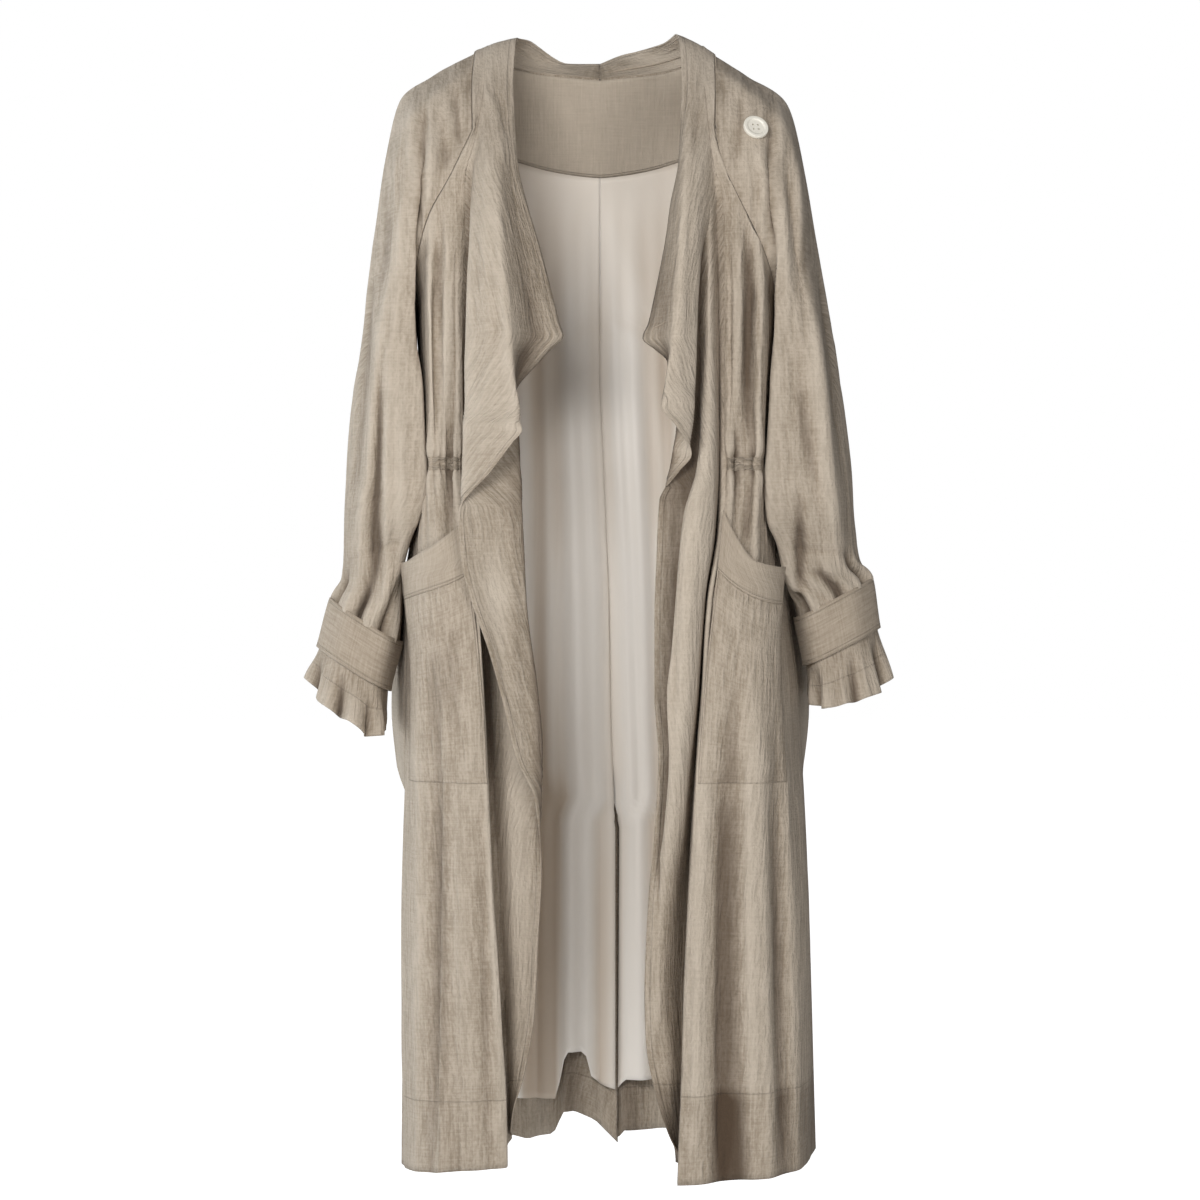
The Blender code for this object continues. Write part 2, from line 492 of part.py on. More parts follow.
def laid(grid, heights, columns, levels, lift):
    """Points of a panel at the given heights in each of its columns, moved out by the lift.

    Levels and lift are functions of (share along the columns) and (share, level number).
    """
    normals = outward(grid)
    rows = len(levels(0.0))
    made = np.zeros((rows, len(columns), 3))
    for j, column in enumerate(columns):
        share = j / (len(columns) - 1)
        for r, height in enumerate(levels(share)):
            point = resampled(grid[:, column], heights, [height])[0]
            way = resampled(normals[:, column], heights, [height])[0]
            made[r, j] = point + way / np.linalg.norm(way) * lift(share, r)
    return made


def mouth(pocket, share):
    """Height of a pocket's mouth along its width."""
    rise = pocket["inner_top"] - pocket["outer_top"]
    return pocket["outer_top"] + rise * share - pocket["sag"] * 4 * share * (1 - share)


def pocket_levels(pocket):
    def levels(share):
        seam = mouth(pocket, share) - POCKET_BAND - SEAM_GAP
        return [POCKET_BOTTOM, *POCKET_ROWS, (seam + POCKET_ROWS[-1]) / 2, seam]
    return levels


def band_levels(pocket):
    def levels(share):
        top = mouth(pocket, share)
        return [top - POCKET_BAND + SEAM_GAP, top - POCKET_BAND / 2, top]
    return levels


def pocket_lift(pocket, stands):
    """A pocket lies on the front at its foot and stands open at its mouth, most near the side."""
    def lift(share, level):
        stand = pocket["gape"] * stands[level] ** 2 * (1 - (1 - POCKET_INNER_GAPE) * share)
        return CLOTH + LAY_GAP + stand
    return lift


def wall(name, rows, thick, material, round_tube=False):
    """A closed wall from rows of points: the cloth's middle surface, thickened both ways."""
    mesh = bmesh.new()
    verts = [[mesh.verts.new(Vector(point) * MM) for point in row] for row in rows]
    for low, high in zip(verts, verts[1:]):
        join_rows(mesh, low, high)
    if round_tube:
        bmesh.ops.remove_doubles(mesh, verts=mesh.verts[:], dist=WELD)
    data = bpy.data.meshes.new(name)
    mesh.to_mesh(data)
    mesh.free()
    made = bpy.data.objects.new(name, data)
    data.materials.append(material)
    coat.objects.link(made)
    cloth = made.modifiers.new("cloth", "SOLIDIFY")
    cloth.thickness = thick * MM
    cloth.offset = 0.0
    return made


def join_rows(mesh, low, high):
    """Faces between two rows of points; rows of different counts are joined by triangles."""
    if len(low) == len(high):
        for a, b, c, d in zip(low, low[1:], high[1:], high):
            mesh.faces.new((a, b, c, d))
        return
    i = j = 0
    while i < len(low) - 1 or j < len(high) - 1:
        if j == len(high) - 1 or (i < len(low) - 1 and (i + 1) * (len(high) - 1) <= (j + 1) * (len(low) - 1)):
            mesh.faces.new((low[i], low[i + 1], high[j]))
            i += 1
        else:
            mesh.faces.new((low[i], high[j + 1], high[j]))
            j += 1


def finish(name, colour, roughness):
    material = bpy.data.materials.new(name)
    material.use_nodes = True
    shader = material.node_tree.nodes["Principled BSDF"]
    shader.inputs["Base Color"].default_value = (*colour, 1.0)
    shader.inputs["Roughness"].default_value = roughness
    shader.inputs["Metallic"].default_value = 0.0
    return material


def build_half(side, sign):
    """All the pieces of one half of the coat."""
    folds, rise = side["front"], side["hem_rise"]
    heights = np.array([*SKIRT_ROWS, *DRAPE_ROWS, *raglan(ARMPIT, NECK_FRONT)], float)
    front = np.array([front_row(folds, height, rise) for height in heights])
    collar = collar_rows(side["neck_seam"], side["collar_edge"], sign)
    wall("front_" + side["name"], [*front, *collar], CLOTH, linen)

    face = front[:, :FACE_COLUMNS + 1]
    pocket, columns = side["pocket"], range(side["pocket"]["first"], FACE_COLUMNS + 1)
    wall("pocket_" + side["name"],
         laid(face, heights, columns, pocket_levels(pocket), pocket_lift(pocket, POCKET_STAND)), CLOTH, linen)
    wall("pocket_band_" + side["name"],
         laid(face, heights, columns, band_levels(pocket), pocket_lift(pocket, BAND_STAND)), CLOTH, linen)
    channel_edges = [WAIST - CHANNEL_HEIGHT / 2, WAIST + CHANNEL_HEIGHT / 2]
    wall("waist_channel_" + side["name"],
         laid(face, heights, range(1, FACE_COLUMNS + 1), lambda share: channel_edges,
              lambda share, level: CLOTH + LAY_GAP), CLOTH, linen)

    folds = back_folds(side["back_raglan"], side["front"], sign)
    vent = side["vent"]
    back, back_heights = back_grid(folds, side["neck_seam"], sign, vent["reach"], vent["step"])
    wall("back_" + side["name"], back, CLOTH, linen)
    inside, lining_heights = back_grid(folds, side["neck_seam"], sign, vent["lining_reach"], vent["step"])
    columns = range(BACK_COLUMNS + 1)
    levels = [LINING_HEM, *BACK_ROWS[1:], *raglan(ARMPIT, NECK_BACK)[:4]]
    lining = laid(inside, lining_heights, columns, lambda share: [*levels, facing_edge(share) - 2 * SEAM_GAP],
                  lambda share, level: -lining_inset(level / len(levels)))
    closed = lining[:, :, 2] > VENT_TOP - SEAM_GAP
    own_half = sign * np.maximum(sign * lining[:, :, 0], vent["lining_gap"])
    lining[:, :, 0] = np.where(closed, own_half, lining[:, :, 0])
    wall("lining_" + side["name"], lining, LINING, satin)

    arm = sleeve_rows(side["front"], side["back_raglan"], side["neck_seam"], side["stations"], side["rings"])
    wall("sleeve_" + side["name"], arm, CLOTH, linen, round_tube=True)
    cuff_strap(side, arm)
    return back, back_heights, arm


def facing_edge(share):
    """Lower edge of the back neck facing, from the raglan seam to the centre back."""
    fall = FACING_DEPTH["centre"] - FACING_DEPTH["side"]
    return FACING_DEPTH["side"] + fall * math.sin(share * math.pi / 2)


def lining_inset(share_up):
    """The lining hangs free of the back and meets the facing's level at its top."""
    return CLOTH + LAY_GAP + LINING_HANG * min(1.0, (1 - share_up) / LINING_EASE)


def cuff_strap(side, arm):
    """A strap round the sleeve, just clear of it, between the two strap rings."""
    first = RAGLAN_STEPS + 1
    low, high = (arm[first + ring] for ring in STRAP_RINGS)
    axis = (high - low).mean(0)
    axis /= np.linalg.norm(axis)
    rows = []
    for share in (0.0, 0.5, 1.0):
        ring = low + (high - low) * share
        centre = ring.mean(0)
        away = ring - centre
        away -= np.outer(away @ axis, axis)
        away /= np.linalg.norm(away, axis=1)[:, None]
        rows.append(ring + away * STRAP_CLEAR)
    wall("cuff_strap_" + side["name"], rows, CLOTH, linen, round_tube=True)


def neck_facing(right, left):
    """One piece inside the back neck, from the neck seam down to its curved lower edge."""
    halves = []
    for back, heights in (right, left):
        steps = [1.0, 0.5, 0.0]
        top = NECK_BACK - FACING_TOP
        made = laid(back, heights, range(BACK_COLUMNS + 1),
                    lambda share: [facing_edge(share) * s + top * (1 - s) for s in steps],
                    lambda share, level: -(CLOTH + LAY_GAP))
        halves.append(made)
    joined = [np.vstack([a[:-1], b[::-1]]) for a, b in zip(*halves)]
    wall("back_neck_facing", joined, CLOTH, linen)


def shoulder_button(arm):
    """A four-hole button with a raised rim, lying on the front of the left shoulder."""
    count = SLEEVE_COLUMNS + 1
    points = [Vector(point) for row in arm for point in row]
    faces = [(r * count + c, r * count + c + 1, (r + 1) * count + c + 1, (r + 1) * count + c)
             for r in range(len(arm) - 1) for c in range(count - 1)]
    cloth = BVHTree.FromPolygons(points, faces)
    ahead = Vector((BUTTON_PLACE[0], -BUTTON_LOOK, BUTTON_PLACE[1]))
    place, normal, _, _ = cloth.ray_cast(ahead, Vector((0, 1, 0)))
    normal = normal if normal.y < 0 else -normal
    turn = normal.to_track_quat("Z", "Y")
    middle = place + normal * (CLOTH / 2 + BUTTON_SEAT + BUTTON_THICK / 2)

    bpy.ops.mesh.primitive_cylinder_add(vertices=BUTTON_SIDES, radius=BUTTON_WIDTH / 2 * MM,
                                        depth=BUTTON_THICK * MM)
    button = bpy.context.object
    button.name = button.data.name = "shoulder_button"
    button.location = middle * MM
    button.rotation_mode = "QUATERNION"
    button.rotation_quaternion = turn
    button.data.materials.append(horn)
    move_to(button, coat)
    cut(button, "button_dish", BUTTON_DISH / 2, 2 * BUTTON_DISH_DEEP, (0, 0, BUTTON_THICK / 2), middle, turn)
    for x, y in ((1, 1), (1, -1), (-1, 1), (-1, -1)):
        away = (x * BUTTON_HOLE_OFF, y * BUTTON_HOLE_OFF, 0)
        cut(button, "button_hole", BUTTON_HOLE / 2, 3 * BUTTON_THICK, away, middle, turn)


def cut(target, name, radius, depth, away, middle, turn):
    """Takes a round cutter out of the target; the cutter stays in its own collection."""
    bpy.ops.mesh.primitive_cylinder_add(vertices=CUTTER_SIDES, radius=radius * MM, depth=depth * MM)
    cutter = bpy.context.object
    cutter.name = name
    cutter.location = (middle + turn @ Vector(away)) * MM
    cutter.rotation_mode = "QUATERNION"
    cutter.rotation_quaternion = turn
    cutter.hide_render = True
    cutter.display_type = "WIRE"
    move_to(cutter, cutters)
    hole = target.modifiers.new(name, "BOOLEAN")
    hole.object = cutter
    hole.operation = "DIFFERENCE"
    hole.solver = "EXACT"


def move_to(made, collection):
    for other in list(made.users_collection):
        other.objects.unlink(made)
    collection.objects.link(made)


for old in list(bpy.data.objects):
    bpy.data.objects.remove(old)

coat = bpy.data.collections.new("drawstring_long_coat")
cutters = bpy.data.collections.new("cutters")
bpy.context.scene.collection.children.link(coat)
bpy.context.scene.collection.children.link(cutters)

linen = finish("linen", (0.60, 0.53, 0.45), 0.9)
satin = finish("satin_lining", (0.86, 0.82, 0.74), 0.45)
horn = finish("button_resin", (0.80, 0.75, 0.66), 0.4)

RIGHT = {
    "name": "right", "front": FRONT_RIGHT, "neck_seam": NECK_SEAM_RIGHT, "collar_edge": COLLAR_EDGE_RIGHT,
    "back_raglan": BACK_SIDE_RIGHT, "stations": SLEEVE_RIGHT, "rings": RINGS_RIGHT,
    "pocket": POCKET_RIGHT, "hem_rise": HEM_RISE_RIGHT,
    "vent": {"reach": 19, "step": 8, "lining_reach": 18, "lining_gap": SEAM_GAP},
}
LEFT = {
    "name": "left", "front": FRONT_LEFT, "neck_seam": NECK_SEAM_LEFT, "collar_edge": COLLAR_EDGE_LEFT,
    "back_raglan": BACK_SIDE_LEFT, "stations": SLEEVE_LEFT, "rings": RINGS_LEFT,
    "pocket": POCKET_LEFT, "hem_rise": HEM_RISE_LEFT,
    "vent": {"reach": 26, "step": 0, "lining_reach": -22, "lining_gap": 1.4},
}
back_right, right_heights, _ = build_half(RIGHT, -1)
back_left, left_heights, left_arm = build_half(LEFT, 1)
neck_facing((back_right, right_heights), (back_left, left_heights))
shoulder_button(left_arm)
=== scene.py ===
import math

import bpy
import numpy as np
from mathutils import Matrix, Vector
from mathutils.bvhtree import BVHTree


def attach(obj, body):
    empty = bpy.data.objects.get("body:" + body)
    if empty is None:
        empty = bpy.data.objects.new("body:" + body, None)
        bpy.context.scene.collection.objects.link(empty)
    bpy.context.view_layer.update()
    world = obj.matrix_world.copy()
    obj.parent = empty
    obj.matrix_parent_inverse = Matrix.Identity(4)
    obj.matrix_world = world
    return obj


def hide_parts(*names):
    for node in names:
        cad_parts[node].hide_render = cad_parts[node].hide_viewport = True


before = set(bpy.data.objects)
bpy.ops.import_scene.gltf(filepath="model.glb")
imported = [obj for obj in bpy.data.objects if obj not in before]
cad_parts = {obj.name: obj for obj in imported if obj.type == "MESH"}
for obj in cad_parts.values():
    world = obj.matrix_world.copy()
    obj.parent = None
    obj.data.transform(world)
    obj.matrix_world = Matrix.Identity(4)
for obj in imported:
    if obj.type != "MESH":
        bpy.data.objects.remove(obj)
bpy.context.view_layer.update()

# Lengths in the tables are millimetres. +Z is up, the front faces -Y, right is the wearer's (-X).
mm = 0.001
clothThick = 1.2
liningThick = 0.7
seamGap = 0.08
layGap = 0.5
foldSoftness = 4.5
foldFade = 70       # how far a fold runs out past its last row
turnWeight = 14     # columns crowd together where the cloth turns
hemHeight = -1115
armpit = -250
neckFront = -64
neckBack = 26
neckCentre = 12
waist = -403
ventTop = -752

# Each fold runs up the cloth; a row is (height, across, depth). A section goes through the folds
# that reach its height.
frontRightFolds = {
    "side": [(-1115, -206, 0), (-810, -203, 0), (-560, -201, 0), (-485, -198, 0), (-440, -187, 0),
             (-400, -180, 0), (-320, -186, 0), (-250, -190, 0), (-210, -188, -62), (-155, -174, -98),
             (-110, -150, -99), (-64, -129, -88)],
    "hip": [(-1115, -188, -88), (-560, -184, -83), (-485, -182, -84), (-400, -173, -91),
            (-320, -175, -91), (-250, -178, -84), (-226, -177, -88)],
    "outerCrest": [(-1115, -165, -118), (-810, -162, -116), (-541, -159, -113), (-470, -166, -107),
                    (-400, -169, -105), (-330, -171, -106), (-250, -172, -106), (-195, -173, -103)],
    "trough": [(-1115, -142, -110), (-541, -141, -112), (-470, -153, -97), (-400, -155, -93),
               (-330, -158, -95), (-250, -160, -95), (-160, -163, -98)],
    "innerCrest": [(-1115, -118, -122), (-810, -126, -122), (-541, -136, -120), (-470, -143, -107),
                    (-400, -143, -102), (-250, -146, -108), (-170, -147, -106), (-118, -143, -101)],
    "ridge": [(-1115, -92, -118), (-1043, -93, -119), (-958, -99, -120), (-810, -108, -121),
              (-641, -116, -122), (-541, -122, -120), (-470, -134, -98), (-400, -138, -97),
              (-250, -138, -101), (-160, -136, -100), (-110, -137, -99), (-64, -118, -97)],
    "gap": [(-1115, -96, -72), (-810, -112, -66), (-641, -120, -68), (-541, -126, -73),
            (-470, -137, -82), (-400, -140, -85), (-250, -137, -92), (-160, -134, -96)],
    "valley": [(-1115, -90, -60), (-958, -97, -56), (-810, -104, -55), (-641, -112, -58),
               (-541, -115, -63), (-470, -126, -73), (-400, -130, -79), (-250, -130, -90),
               (-100, -128, -96)],
    "innerBand": [(-1115, -88, -72), (-1043, -86, -78), (-810, -90, -80), (-641, -95, -86),
                   (-541, -99, -89), (-456, -106, -91), (-372, -109, -95), (-275, -114, -99),
                   (-200, -121, -101)],
    "roll": [(-810, -60, -94), (-742, -57, -98), (-690, -56, -100), (-641, -60, -102),
             (-541, -71, -106), (-456, -75, -108), (-372, -78, -110), (-300, -88, -112),
             (-230, -104, -110), (-200, -113, -107)],
    "lapel": [(-640, -80, -114), (-541, -98, -120), (-456, -108, -121), (-372, -109, -121),
              (-300, -115, -121), (-230, -123, -114), (-200, -125, -110)],
    "outerFold": [(-456, -142, -130), (-411, -141, -132), (-372, -139, -134), (-330, -137, -134),
                   (-250, -135, -132), (-170, -132, -124), (-110, -128, -110), (-82, -127, -103)],
    "flank": [(-456, -142, -130), (-411, -125, -142), (-392, -116, -148), (-372, -112, -152),
              (-330, -114, -153), (-250, -116, -150), (-170, -116, -142), (-110, -113, -124),
              (-64, -112, -100)],
    "drape": [(-372, -77, -163), (-350, -78, -166), (-330, -82, -166), (-300, -87, -166),
              (-250, -92, -164), (-190, -98, -154), (-140, -101, -138), (-100, -101, -118),
              (-64, -99, -100)],
    "shade": [(-372, -77, -163), (-350, -84, -150), (-330, -87, -140), (-300, -81, -128),
              (-275, -69, -122), (-220, -76, -124), (-160, -84, -118), (-100, -92, -106)],
    "edge": [(-1115, -91, -82), (-1085, -88, -84), (-1043, -78, -88), (-960, -66, -92),
             (-890, -63, -93), (-810, -59, -94), (-742, -66, -106), (-700, -84, -116),
             (-641, -98, -122), (-590, -112, -127), (-541, -129, -129), (-500, -139, -130),
             (-456, -142, -130), (-411, -107, -150), (-385, -87, -160), (-372, -77, -163),
             (-350, -88, -141), (-330, -84, -123), (-300, -60, -109), (-288, -49, -106), (-275, -37, -104),
             (-262, -41, -104), (-238, -47, -103), (-188, -60, -101), (-137, -75, -99), (-100, -84, -95),
             (-64, -88, -88)],
}
frontLeftFolds = {
    "side": [(-1115, 224, 0), (-810, 215, 0), (-641, 205, 0), (-560, 196, 0), (-485, 188, 0),
             (-440, 180, 0), (-400, 173, 0), (-320, 179, 0), (-250, 186, 0), (-203, 172, -80),
             (-157, 151, -100), (-127, 136, -101), (-97, 123, -97), (-64, 116, -86)],
    "hip": [(-1115, 202, -90), (-810, 194, -88), (-641, 184, -86), (-560, 177, -84),
            (-485, 167, -82), (-440, 163, -86), (-400, 163, -90), (-320, 166, -91), (-250, 170, -84),
            (-228, 168, -88)],
    "outerCrest": [(-1115, 170, -120), (-810, 165, -118), (-541, 156, -116), (-470, 157, -107),
                    (-400, 159, -105), (-330, 162, -107), (-250, 164, -107), (-215, 164, -104)],
    "trough": [(-1115, 140, -112), (-541, 138, -114), (-470, 146, -98), (-400, 147, -95),
               (-330, 150, -96), (-250, 151, -96), (-168, 150, -98)],
    "innerCrest": [(-1115, 108, -122), (-810, 116, -122), (-541, 126, -122), (-470, 133, -108),
                    (-400, 131, -104), (-330, 133, -107), (-250, 133, -107), (-137, 133, -102)],
    "ridge": [(-1115, 77, -118), (-1043, 80, -120), (-940, 84, -120), (-840, 90, -121),
              (-700, 99, -122), (-641, 103, -122), (-541, 109, -122), (-470, 121, -112),
              (-400, 124, -100), (-250, 125, -97), (-135, 124, -98), (-97, 113, -98), (-64, 107, -96)],
    "valley": [(-1115, 82, -66), (-940, 86, -62), (-770, 94, -60), (-641, 103, -62),
               (-541, 110, -64), (-470, 118, -70), (-400, 121, -78), (-330, 121, -80),
               (-250, 120, -84), (-170, 118, -90), (-110, 116, -94)],
    "foldSide": [(-1115, 76, -78), (-1043, 72, -88), (-940, 66, -96), (-840, 72, -104),
                  (-770, 82, -110), (-700, 88, -114), (-641, 95, -118), (-541, 103, -122),
                  (-470, 113, -122), (-400, 115, -117), (-330, 115, -113), (-250, 114, -111),
                  (-170, 113, -106), (-110, 112, -98)],
    "foldCrest": [(-940, 58, -104), (-840, 64, -113), (-770, 74, -120), (-700, 80, -126),
                   (-641, 82, -130), (-541, 90, -134), (-470, 100, -134), (-420, 106, -126),
                   (-330, 109, -119), (-250, 108, -116), (-170, 109, -109)],
    "foldEdge": [(-800, 57, -112), (-770, 62, -118), (-700, 66, -124), (-641, 65, -126),
                  (-590, 69, -128), (-541, 73, -130), (-456, 83, -130), (-410, 97, -120),
                  (-380, 101, -115), (-330, 103, -111), (-250, 103, -107), (-200, 105, -104)],
    "backOfFold": [(-770, 68, -104), (-700, 76, -100), (-641, 80, -98), (-541, 86, -98),
                     (-456, 93, -98), (-400, 102, -98), (-330, 103, -97), (-250, 101, -98),
                     (-200, 102, -100)],
    "innerBand": [(-770, 64, -102), (-700, 68, -98), (-541, 72, -94), (-456, 77, -94),
                   (-395, 86, -97), (-300, 94, -101), (-220, 99, -104)],
    "roll": [(-440, 60, -94), (-420, 64, -104), (-395, 69, -110), (-348, 76, -114),
             (-300, 85, -114), (-250, 92, -113), (-210, 98, -110)],
    "outerFold": [(-395, 92, -119), (-370, 94, -126), (-340, 96, -130), (-300, 97, -132),
                   (-250, 98, -131), (-170, 103, -122), (-110, 108, -108), (-82, 110, -101)],
    "flank": [(-395, 92, -119), (-372, 85, -134), (-340, 82, -146), (-300, 84, -148),
              (-240, 88, -147), (-160, 94, -134), (-100, 98, -114), (-64, 103, -98)],
    "drape": [(-348, 61, -152), (-330, 63, -154), (-302, 68, -154), (-277, 73, -153),
              (-240, 77, -151), (-190, 80, -146), (-140, 84, -134), (-100, 87, -118),
              (-64, 92, -99)],
    "shade": [(-348, 61, -152), (-330, 68, -141), (-302, 72, -130), (-277, 62, -126),
              (-220, 68, -124), (-150, 75, -116), (-100, 81, -106)],
    "edge": [(-1115, 84, -84), (-1090, 71, -88), (-1043, 56, -94), (-985, 46, -98),
             (-942, 45, -100), (-842, 49, -104), (-775, 55, -104), (-700, 59, -100),
             (-640, 55, -94), (-560, 55, -92), (-500, 57, -92), (-440, 60, -94),
             (-411, 80, -112), (-395, 92, -119), (-366, 75, -142), (-348, 61, -152),
             (-325, 65, -136), (-302, 68, -122), (-290, 57, -115), (-277, 43, -108),
             (-262, 49, -106), (-240, 54, -104),
             (-180, 66, -102), (-138, 72, -100), (-93, 81, -94), (-64, 82, -88)],
}
backRaglanRight = [(-250, -190, 0), (-205, -186, 58), (-140, -170, 88), (-60, -140, 80), (26, -112, 35)]
backRaglanLeft = [(-250, 186, 0), (-205, 182, 58), (-140, 166, 88), (-60, 132, 80), (26, 104, 35)]
backFolds = {
    "hip": [(-1115, 192, 84), (-770, 198, 80), (-715, 216, 76), (-650, 222, 74), (-595, 220, 72),
            (-540, 212, 72), (-490, 202, 70), (-440, 190, 69), (-400, 186, 68), (-320, 186, 70),
            (-250, 184, 60), (-226, 182, 64)],
    "outerCrest": [(-1115, 152, 124), (-810, 147, 113), (-400, 128, 90), (-250, 140, 100),
                    (-170, 146, 100)],
    "outerTrough": [(-1115, 112, 106), (-810, 110, 101), (-400, 98, 88), (-250, 106, 102),
                     (-60, 104, 94)],
    "innerCrest": [(-1115, 68, 134), (-810, 66, 122), (-400, 62, 99), (-250, 66, 109), (-60, 66, 97),
                    (26, 62, 60)],
    "innerTrough": [(-1115, 32, 118), (-810, 30, 113), (-400, 28, 96), (-250, 30, 106)],
    "centre": [(-1115, 0, 127), (-810, 0, 118), (-560, 0, 108), (-400, 0, 98), (-250, 0, 107),
               (-120, 0, 104), (-40, 0, 88), (26, 0, 66)],
}
# The neck seam and the collar's free edge: rows are (across, depth, height) from front to centre back.
neckSeamRight = [(-129, -88, -64), (-131, -55, -12), (-128, -8, 29), (-121, 16, 29), (-112, 35, 26),
                   (-75, 57, 18), (0, 68, 12)]
neckSeamLeft = [(116, -86, -64), (118, -54, -12), (118, -8, 26), (112, 16, 27), (104, 35, 26),
                  (70, 57, 18), (0, 68, 12)]
collarEdgeRight = [(-88, -88, -64), (-90, -58, -20), (-87, -10, 42), (-85, 18, 46), (-74, 44, 48),
                     (-34, 82, 30), (0, 90, 31)]
collarEdgeLeft = [(82, -88, -64), (85, -58, -20), (82, -10, 42), (78, 18, 50), (68, 44, 46),
                    (28, 85, 41), (0, 90, 31)]
shoulderRow = 4     # the neck seam's row where the back raglan seam starts

sleeveRight = [
    {"seam": 0.72, "ridge": (-158, -90, -70), "front": (-166, -62, -22), "outer": (-169, -4, 7),
     "back": (-162, 48, -6), "innerBack": (-152, 72, -32)},
    {"seam": 0.48, "ridge": (-185, -103, -122), "front": (-202, -66, -62), "outer": (-206, 0, -16),
     "back": (-196, 55, -45), "innerBack": (-182, 82, -95)},
    {"seam": 0.24, "ridge": (-184, -104, -190), "front": (-214, -82, -130), "outer": (-223, 0, -78),
     "back": (-210, 72, -120), "innerBack": (-196, 84, -165)},
    {"seam": 0.0, "ridge": (-183, -98, -246), "front": (-215, -90, -205), "outer": (-238, 0, -172),
     "back": (-216, 80, -205), "innerBack": (-193, 66, -240)},
]
sleeveLeft = [
    {"seam": 0.72, "ridge": (146, -90, -70), "front": (150, -62, -20), "outer": (152, -4, 6),
     "back": (146, 48, -6), "innerBack": (140, 72, -32)},
    {"seam": 0.48, "ridge": (175, -103, -122), "front": (190, -66, -62), "outer": (194, 0, -22),
     "back": (184, 55, -48), "innerBack": (172, 82, -95)},
    {"seam": 0.24, "ridge": (176, -104, -190), "front": (204, -82, -130), "outer": (213, 0, -96),
     "back": (200, 72, -125), "innerBack": (188, 84, -165)},
    {"seam": 0.0, "ridge": (172, -98, -246), "front": (206, -90, -205), "outer": (228, 0, -176),
     "back": (206, 80, -205), "innerBack": (186, 66, -240)},
]
# Rings below the armpit. Ridge is the front fold's place across, front and back are the reach in depth,
# and tilt is how steeply the ring falls towards the body, in degrees.
ringColumns = ("height", "inner", "ridge", "outer", "front", "back", "tilt")
ringsRight = [
    (-300, -191, -177, -252, -98, 76, 28), (-362, -190, -175, -261, -95, 68, 18),
    (-415, -190, -172, -265, -90, 60, 10), (-452, -205, -180, -267, -82, 54, 6),
    (-486, -207, -198, -268, -64, 50, 10), (-530, -206, -210, -270, -53, 47, 24),
    (-560, -209, -217, -282, -47, 44, 33), (-611, -221, -229, -296, -47, 44, 33),
    (-648, -223, -229, -309, -56, 49, 33),
]
ringsLeft = [
    (-300, 184, 171, 246, -98, 76, 28), (-362, 183, 168, 257, -95, 68, 18),
    (-415, 184, 165, 264, -92, 60, 10), (-452, 193, 167, 266, -84, 54, 6),
    (-478, 194, 179, 269, -70, 51, 9), (-509, 200, 188, 273, -58, 48, 18),
    (-537, 205, 211, 285, -47, 44, 28), (-588, 215, 221, 293, -47, 44, 28),
    (-632, 218, 224, 308, -56, 49, 16),
]


# Curves

runsToEdge = ("roll", "outerFold", "flank", "drape", "shade")      # these end below on the free edge


def spline(at, values, x):
    at, values = np.asarray(at, float), np.asarray(values, float)
    step = np.diff(at)[:, None]
    slope = np.diff(values, axis=0) / step
    tangent = np.zeros_like(values)
    sameWay = slope[:-1] * slope[1:] > 0
    total = np.where(sameWay, slope[:-1] + slope[1:], 1.0)
    tangent[1:-1] = np.where(sameWay, 2 * slope[:-1] * slope[1:] / total, 0.0)
    tangent[0], tangent[-1] = slope[0], slope[-1]
    i = int(np.clip(np.searchsorted(at, x) - 1, 0, len(step) - 1))
    h = step[i]
    t = np.clip((x - at[i]) / h, 0, 1)
    return ((1 + 2 * t) * (1 - t) ** 2 * values[i] + t * (1 - t) ** 2 * h * tangent[i]
            + t * t * (3 - 2 * t) * values[i + 1] + t * t * (t - 1) * h * tangent[i + 1])


def onFold(rows, height):
    table = np.array(rows, float)
    return spline(table[:, 0], table[:, 1:], height)


def along(rows, place):
    return spline(np.arange(len(rows)), np.array(rows, float), place)


def run(line):
    return np.concatenate([[0], np.cumsum(np.linalg.norm(np.diff(line, axis=0), axis=1))])


def resampled(line, at, keep):
    return np.array([np.interp(keep, at, values) for values in line.T]).T


def rounded(corners, softness):
    corners = np.asarray(corners, float)
    length = run(corners)[-1]
    count = max(int(length), 40)        # a point each millimetre
    dense = resampled(corners, run(corners), np.linspace(0, length, count))
    reach = int(min(2.5 * softness * count / length, count - 1))
    kernel = np.exp(-0.5 * (np.arange(-reach, reach + 1) * length / count / softness) ** 2)
    before = 2 * dense[0] - dense[reach:0:-1]
    after = 2 * dense[-1] - dense[-2:-reach - 2:-1]
    padded = np.vstack([before, dense, after])
    return np.array([np.convolve(values, kernel / kernel.sum(), "valid") for values in padded.T]).T


def placesOf(line, columns):
    # shares of the line's length for its columns: even steps, closer together where the line turns
    step = np.diff(line, axis=0)
    length = np.linalg.norm(step, axis=1)
    way = step / np.maximum(length, 1e-9)[:, None]
    turn = np.arccos(np.clip((way[1:] * way[:-1]).sum(1), -1, 1))
    at = np.concatenate([[0], np.cumsum(length + turnWeight * np.concatenate([[0], turn]))])
    return np.interp(np.linspace(0, at[-1], columns + 1), at, run(line) / run(line)[-1])


def evenRows(lines, columns, rowsSoft):
    # a grid from lines of any count; the columns' places change softly from row to row
    places = smoothRows(np.array([placesOf(line, columns) for line in lines]), rowsSoft)
    return np.array([resampled(line, run(line) / run(line)[-1], place) for line, place in zip(lines, places)])


